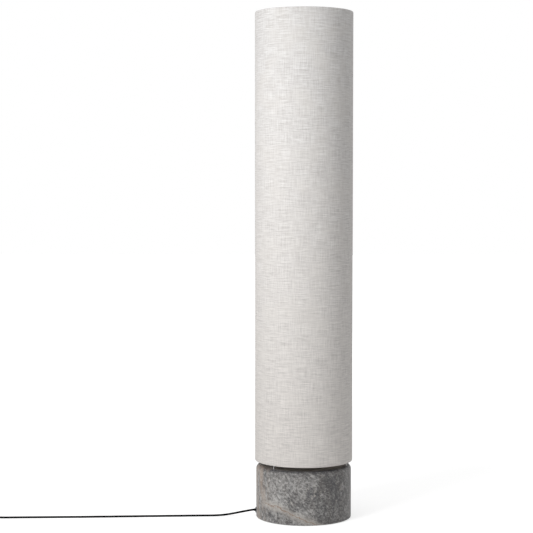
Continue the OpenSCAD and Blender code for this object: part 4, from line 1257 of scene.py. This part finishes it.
@dataclass
class FootSwitch:
    """The foot switch's upper case and domed button, and the rubber reliefs on the lead."""

    centre: tuple[float, float, float] = (-830, -28, 0)
    length: float = 100.0
    width: float = 36.0
    split_z: float = 11.0
    top_z: float = 22.0
    wall: float = 2.0
    shoulder: float = 3.0
    button_r: float = 12.0
    button_rise: float = 3.5
    travel: float = 3.0
    spring_foot_z: float = 6.6
    play: float = 0.3
    cord_z: float = 8.0
    relief_r: float = 4.0
    relief_l: float = 20.0
    end_steps: int = 24
    side_steps: int = 12

    def oblong(self, inset: float, z: float) -> list[Vector]:
        """Draw a round-ended ring.

        Args:
            inset: how far inside the case's outline it lies.
            z: its height.

        Returns:
            Its points, in millimetres from the case's centre.
        """
        r = self.width / 2 - inset
        out = self.length / 2 - self.width / 2
        ring = []
        for side in (1, -1):
            for k in range(self.end_steps + 1):
                a = math.pi * (k / self.end_steps - 0.5)
                ring.append(Vector((side * (out + r * math.cos(a)), side * r * math.sin(a), z)))
            for k in range(1, self.side_steps):
                ring.append(Vector((side * out * (1 - k / (self.side_steps / 2)), side * r, z)))
        return ring

    def circle(self, radius: float, z: float) -> list[Vector]:
        """Return a round ring whose points lie on the same rays as the outline's."""
        rays = [math.atan2(p.y, p.x) for p in self.oblong(0, z)]
        return [Vector((radius * math.cos(a), radius * math.sin(a), z)) for a in rays]

    def build(self, lower_case: bpy.types.Object) -> tuple[list[bpy.types.Object], bpy.types.Object]:
        """Make the pieces.

        Args:
            lower_case: the case's lower half, which is made already.

        Returns:
            The pieces at the first stretch of the lead, and the relief at the second.
        """
        low, top, wall, s = self.split_z, self.top_z, self.wall, self.shoulder
        well = self.button_r + self.play
        bends = [math.pi / 2 * k / 6 for k in range(7)]
        ceiling = top - wall + 0.05
        rings = [self.oblong(0.3, low), self.oblong(0, low + 0.35)]
        rings += [self.oblong(s * (1 - math.cos(a)), top - s + s * math.sin(a)) for a in bends]
        rings += [self.circle(well + 0.4, top), self.circle(well, top - 0.4), self.circle(well, ceiling)]
        rings += [self.oblong(2 * wall, ceiling), self.oblong(wall, top - 2 * wall), self.oblong(wall, low)]
        case = lofted("switch_top_case", rings, BUILT["black_plastic"], capped=False)
        end = self.length / 2
        case = drilled(case, "switch_top_case", [
            (self.relief_r + 0.1, 10, Vector((side * (end - 5), 0, self.cord_z)), Vector((side, 0, 0)))
            for side in (1, -1)
        ])
        spot = Matrix.Translation(Vector(self.centre) * MM)
        hand_over(place(case, spot), "base", "black_plastic", "switch_upper_shell")

        flange, r, crown = top - wall - 2, self.button_r, top + self.button_rise
        button = turned("foot_button_cap", HalfSection([
            (0, flange, 0), (r + 1.5, flange, 0.3), (r + 1.5, flange + 1.9, 0.3), (r, flange + 1.9, 0),
            (r, crown - 1.2, 0.9), (0, crown, 0),
        ], longest=0.3, gripped=(4,)), BUILT["black_plastic"], 96, Count=0.0, Pitch=2.4 * MM, Depth=0.35 * MM)
        hand_over(place(button, spot), "foot_button", "black_plastic", "switch_button")

        x, y, _ = self.centre
        made = []
        for label, side, turn in (("front", 1, FACING_RIGHT), ("rear", -1, FACING_LEFT)):
            relief = turned("relief", HalfSection([
                (2.5, -4, 0), (self.relief_r, -4, 0.3), (self.relief_r, 1, 0), (3.1, self.relief_l - 4, 0),
                (2.9, self.relief_l, 0.4), (2.5, self.relief_l, 0), (2.5, -4, 0),
            ], longest=0.4, gripped=(2,)), BUILT["rubber"], 48, Count=0.0, Pitch=3 * MM, Depth=0.35 * MM)
            spots = [((x + side * end, y, self.cord_z), turn)]
            relief = set_out(relief, f"switch_relief_{label}", BUILT["rubber"], spots)
            made.append(hand_over(relief, "base", "rubber", "switch_reliefs"))
        kept = [NODES[n] for n in ("switch_board", "switch_spring", "switch_screws")]
        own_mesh(NODES["switch_spring"])
        return [case, lower_case, button, made[0], *kept], made[1]


@dataclass
class Plug:
    """The flat two-pin plug: a moulding with a ribbed neck and grip, and sleeved pins."""

    start: tuple[float, float, float] = (-861, -96.65, 6.8)
    length: float = 36.0
    pin_pitch: float = 18.6
    pin_r: float = 2.0
    sleeve_r: float = 1.8
    sleeve_l: float = 10.0
    pin_l: float = 19.0
    stations: tuple[tuple[float, float, float, float], ...] = (
        (-20, 3.0, 3.0, 2.0), (-19.6, 3.2, 3.2, 2.0), (0, 4.0, 4.0, 2.0), (3, 8.6, 4.9, 2.4),
        (19.8, 16.5, 6.8, 4.5), (34, 16.5, 6.8, 4.5), (35.5, 16.0, 6.3, 4.2), (36, 15.2, 5.6, 4.0),
    )
    ring_step: float = 0.5
    ring_points: int = 64
    ribbed: tuple[tuple[float, float, float, float], ...] = ((-18, -2, 2.6, 0.5), (16, 31, 2.5, 0.45))

    def ring(self, x: float) -> list[Vector]:
        """Draw one ring of the moulding: a rounded oblong, dented where it is ribbed.

        Args:
            x: how far along the moulding it lies.

        Returns:
            Its points, in millimetres from the moulding's start.
        """
        for (x0, *low), (x1, *high) in zip(self.stations, self.stations[1:]):
            if x <= x1:
                t = (x - x0) / (x1 - x0)
                w, h, square = (a + (b - a) * t for a, b in zip(low, high))
                break
        for begins, ends, pitch, depth in self.ribbed:
            if begins < x < ends:
                dent = depth * (1 - math.cos(math.tau * (x - begins) / pitch)) / 2
                w, h = w - dent * (begins < 0), h - dent
        ring = []
        for k in range(self.ring_points):
            a = math.tau * k / self.ring_points
            sides = ((w, math.cos(a)), (h, math.sin(a)))
            y, z = (math.copysign(half * abs(share) ** (2 / square), share) for half, share in sides)
            ring.append(Vector((x, y, z)))
        return ring

    def build(self) -> list[bpy.types.Object]:
        """Make the moulding, the pins and their sleeves."""
        edges = [row[0] for row in self.stations]
        between = range(1, int((self.stations[-3][0] - edges[0]) / self.ring_step))
        steps = sorted({*edges, *(edges[0] + self.ring_step * k for k in between)})
        body = lofted("plug_moulding", [self.ring(x) for x in steps], BUILT["black_plastic"], capped=True)
        place(body, Matrix.Translation(Vector(self.start) * MM))
        hand_over(body, "base", "black_plastic", "plug_body")

        x, y, z = self.start
        spots = [((x + self.length, y + side * self.pin_pitch / 2, z), FACING_RIGHT) for side in (1, -1)]
        pin = turned("pin", HalfSection([
            (0, self.sleeve_l, 0), (self.pin_r, self.sleeve_l, 0.2), (self.pin_r, self.pin_l, 1.2),
            (0, self.pin_l, 0),
        ]), BUILT["nickel"], 40)
        sleeve = turned("sleeve", HalfSection([
            (0, 0, 0), (self.sleeve_r, 0, 0), (self.sleeve_r, self.sleeve_l, 0), (0, self.sleeve_l, 0),
        ]), BUILT["black_plastic"], 40)
        pins = set_out(pin, "plug_prongs", BUILT["nickel"], spots)
        sleeves = set_out(sleeve, "plug_insulation", BUILT["black_plastic"], spots)
        return [
            body, hand_over(pins, "base", "nickel", "plug_pins"),
            hand_over(sleeves, "base", "black_plastic", "plug_sleeves"),
        ]


def gland() -> bpy.types.Object:
    """Make the rubber grommet where the lead leaves the stone."""
    bush = turned("bush", HalfSection([
        (2.5, -24, 0), (4, -24, 0.4), (4.5, 0, 0), (6.75, 0, 0.4), (6.75, 2.4, 0.3), (3.2, 2.4, 0.3),
        (2.9, 6.4, 0.3), (2.5, 6.4, 0), (2.5, -24, 0),
    ]), BUILT["rubber"], 48)
    bush = set_out(bush, "lead_grommet", BUILT["rubber"], [((-113, 0, 15.2), FACING_LEFT)])
    return hand_over(bush, "base", "rubber", "cord_gland")


# ---- lead ----

LYING_Y_MM = (-7, -9, -10, -12, -13, -15, -16, -18, -19, -21, -22, -23, -24, -25, -26, -27)
RUN_MM = [
    (-113, 0, 15.2), (-116, 0, 15.2), (-119.4, 0, 15.2),
    (-129, 0, 13.9), (-142, 0, 11.5), (-157, -1, 8.8), (-171, -2, 6.3), (-185, -3, 4.3),
    (-200, -4, 3), (-217, -5, 2.4), (-240, -6, 2.4),
    *((-268 - 28 * i, y, 2.4) for i, y in enumerate(LYING_Y_MM)), (-714, -28, 2.4),
    (-728, -28, 3), (-739, -28, 4.6), (-747, -28, 6.9), (-754, -28, 8), (-757, -28, 8), (-760, -28, 8),
    (-776, -28, 8), (-792, -28, 8),
]


@dataclass
class Lead:
    """The free lead: from the gland to the foot switch, and on through a coil to the plug."""

    diameter: float = 4.8
    switch_end_mm: tuple[float, float, float] = (-900, -28, 8)
    coil_centre_mm: tuple[float, float] = (-937, -62.325)
    coil_inner_mm: float = 21.5
    coil_pitch_mm: float = 5.4
    coil_layers: int = 4
    turns_a_layer: float = 2.375
    steps_a_turn: int = 48

    def coil_point(self, turn: float) -> tuple[float, float, float]:
        """Follow the coil, layer by layer.

        Args:
            turn: the number of turns from its start.

        Returns:
            The point there, in millimetres.
        """
        outer = self.coil_inner_mm + self.turns_a_layer * self.coil_pitch_mm
        layer = min(int(turn / self.turns_a_layer), self.coil_layers - 1)
        inside = (turn - layer * self.turns_a_layer) * self.coil_pitch_mm
        radius = outer - inside if layer % 2 == 0 else self.coil_inner_mm + inside
        rise = 0.0
        for k in range(1, self.coil_layers):
            t = min(1.0, max(0.0, (turn - k * self.turns_a_layer) * 2 + 0.5))
            rise += t * t * (3 - 2 * t)
        angle = math.radians(90 + 360 * turn)
        x, y = self.coil_centre_mm
        height = self.diameter / 2 + self.coil_pitch_mm * rise
        return (x + radius * math.cos(angle), y + radius * math.sin(angle), height)

    def coil(self) -> list[tuple[float, float, float]]:
        """Return the whole coil's points, in millimetres."""
        total = self.coil_layers * self.turns_a_layer
        count = round(total * self.steps_a_turn)
        return [self.coil_point(i * total / count) for i in range(count + 1)]

    def second_route(self) -> list[Vector]:
        """Return the centreline from the foot switch through the coil to the plug."""
        x, y = self.coil_centre_mm
        sx, sy, sz = self.switch_end_mm
        far_y = y - self.coil_inner_mm - self.turns_a_layer * self.coil_pitch_mm
        before = [
            *((sx + out, sy, sz) for out in (32, 16, 0, -5)), (sx - 14, sy, 5.8), (sx - 23, sy, 2.9),
            (x + 8.8, sy, 2.4), (x + 4.8, sy, 2.4),
        ]
        falling = ((4.8, 18.6), (10.8, 18.6), (22, 17), (33, 11.8), (44, 7.8), (52, 6.8), (56, 6.8))
        after = [(x + out, far_y, height) for out, height in falling]
        return smooth_route(before) + [Vector(p) * MM for p in self.coil()] + smooth_route(after)

    def tube(self, name: str, line: list[Vector]) -> bpy.types.Object:
        """Run a round cord along a line.

        Args:
            name: the cord's name.
            line: its centreline, in metres.

        Returns:
            The cord, as a curve.
        """
        curve = bpy.data.curves.new(name, "CURVE")
        curve.dimensions = "3D"
        curve.bevel_depth = self.diameter / 2 * MM
        curve.bevel_resolution = 4
        curve.use_fill_caps = True
        spline = curve.splines.new("POLY")
        spline.points.add(len(line) - 1)
        for point, spot in zip(spline.points, line):
            point.co = (*spot, 1)
        spline.use_smooth = True
        curve.materials.append(BUILT["cord_sheath"])
        return add_object(name, curve)

    def build(self, on_run: list[bpy.types.Object], on_tail: list[bpy.types.Object]) -> None:
        """Args:
            on_run: the gland and the foot switch's pieces; not used.
            on_tail: the plug's pieces; not used.
        """
        for name, line, nodes, far_end, lay, joined in (
            ("lead_to_switch", smooth_route(RUN_MM), ("cord_run",), "fitting", "loose", on_run),
            ("lead_to_plug", self.second_route(), ("cord_lead", "cord_coil", "cord_tail"), "plug",
             "coiled", on_tail),
        ):
            piece = hand_over(self.tube(name, line), "base", "cord_sheath", *nodes)
            LOG.info("%s: %.3f m", name, length_of(line))


# ---- stage ----


@dataclass
class Stage:
    """The floor, the white surroundings, the key light and the camera."""

    focal_px: float = 1493.4
    sensor_mm: float = 36.0
    eye: tuple[float, float, float] = (-0.0888, -3.551, 0.7746)
    pitch: float = 0.0493
    ambient: float = 0.578
    floor_size: float = 30.0
    glow: tuple[float, float] = (0.6, 1.0)
    glow_from: tuple[float, float] = (0.8, 3.5)
    key_spot: tuple[float, float, float] = (-0.944, -1.148, 1.166)
    key_aim: tuple[float, float, float] = (0, 0, 0.6)
    key_size: float = 0.63
    key_watts: float = 15.1

    def camera(self) -> None:
        """Set the camera at the photograph's place."""
        data = bpy.data.cameras.new("camera")
        data.sensor_width = self.sensor_mm
        data.lens = self.focal_px / FRAME_PX * self.sensor_mm
        camera = add_object("camera", data)
        camera.location = self.eye
        camera.rotation_euler = (math.pi / 2 - self.pitch, 0, 0)
        bpy.context.scene.camera = camera

    def seen_white(self, add: Adder) -> Source:
        """Return 1 for the rays that show the surroundings, straight, in gloss or through glass."""
        rays = add("ShaderNodeLightPath").outputs
        seen = add(MATH, {0: rays["Is Camera Ray"], 1: rays["Is Glossy Ray"]}, operation="MAXIMUM")
        return add(MATH, {0: seen, 1: rays["Is Transmission Ray"]}, operation="MAXIMUM")

    def surroundings(self) -> None:
        """Make the world white to the eye, and dimmer as a light."""
        world = bpy.data.worlds.new("studio")
        bpy.context.scene.world = world
        world.use_nodes = True
        add = partial(add_node, world.node_tree)
        strength = add(MAP_RANGE, {"Value": self.seen_white(add), "To Min": self.ambient, "To Max": 1.0})
        feed(world.node_tree.nodes["Background"], {"Color": (1, 1, 1, 1), "Strength": strength})

    def floor(self) -> None:
        """Lay a pale floor that shows white, with the lamp's shadow on it."""
        half = self.floor_size / 2
        corners = [(side * half, end * half, 0) for side, end in ((-1, -1), (1, -1), (1, 1), (-1, 1))]
        mesh = bpy.data.meshes.new("floor")
        mesh.from_pydata(corners, [], [(0, 1, 2, 3)])
        material, add, shader = open_material("floor_paper_matt")
        seen = add("ShaderNodeTexCoord").outputs["Object"]
        away = add(VECTOR_MATH, {0: seen}, operation="LENGTH")
        (near, far), (dim, full) = self.glow_from, self.glow
        glow = add(MAP_RANGE, {
            "Value": away, "From Min": near, "From Max": far, "To Min": dim, "To Max": full,
        })
        feed(shader, {
            "Base Color": linear("#d8d8d8"), "Roughness": 0.9, "Specular IOR Level": 0.0,
            "Emission Color": (1, 1, 1, 1),
            "Emission Strength": add(MATH, {0: self.seen_white(add), 1: glow}, operation="MULTIPLY"),
        })
        mesh.materials.append(material)
        add_object("floor", mesh)

    def key(self) -> None:
        """Hang one square soft light on the left, turned towards its aim."""
        data = bpy.data.lights.new("key", "AREA")
        data.shape, data.size, data.energy = "SQUARE", self.key_size, self.key_watts
        light = add_object("key", data)
        light.visible_camera = False
        light.location = self.key_spot
        way = Vector(self.key_aim) - Vector(self.key_spot)
        light.rotation_euler = way.to_track_quat("-Z", "Y").to_euler()

    def build(self) -> None:
        """Make the whole stage."""
        bpy.context.scene.view_settings.view_transform = "Standard"
        self.surroundings()
        self.floor()
        self.key()


# ---- main ----


def dress_solids() -> None:
    """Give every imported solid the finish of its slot."""
    for name, node in NODES.items():
        node.data.materials.clear()
        node.data.materials.append(BUILT[SLOT_OF[name]])


def main() -> None:
    """Build every part of the looks in order."""
    logging.basicConfig(level=logging.INFO)
    stage = Stage()
    stage.camera()
    dress_solids()
    eased = ease_edges()
    on_run, relief = FootSwitch().build(eased["switch_lower_shell"])
    Lead().build([gland(), *on_run], [relief, *Plug().build()])
    Shade().build()
    StoneDrum().build()
    Finial().build()
    for which, x, z in (("lower", -42.0, 330.0), ("upper", 42.0, 840.0)):
        Lampholder(which, x, z).build()
    stage.build()


if __name__ == "__main__":
    main()
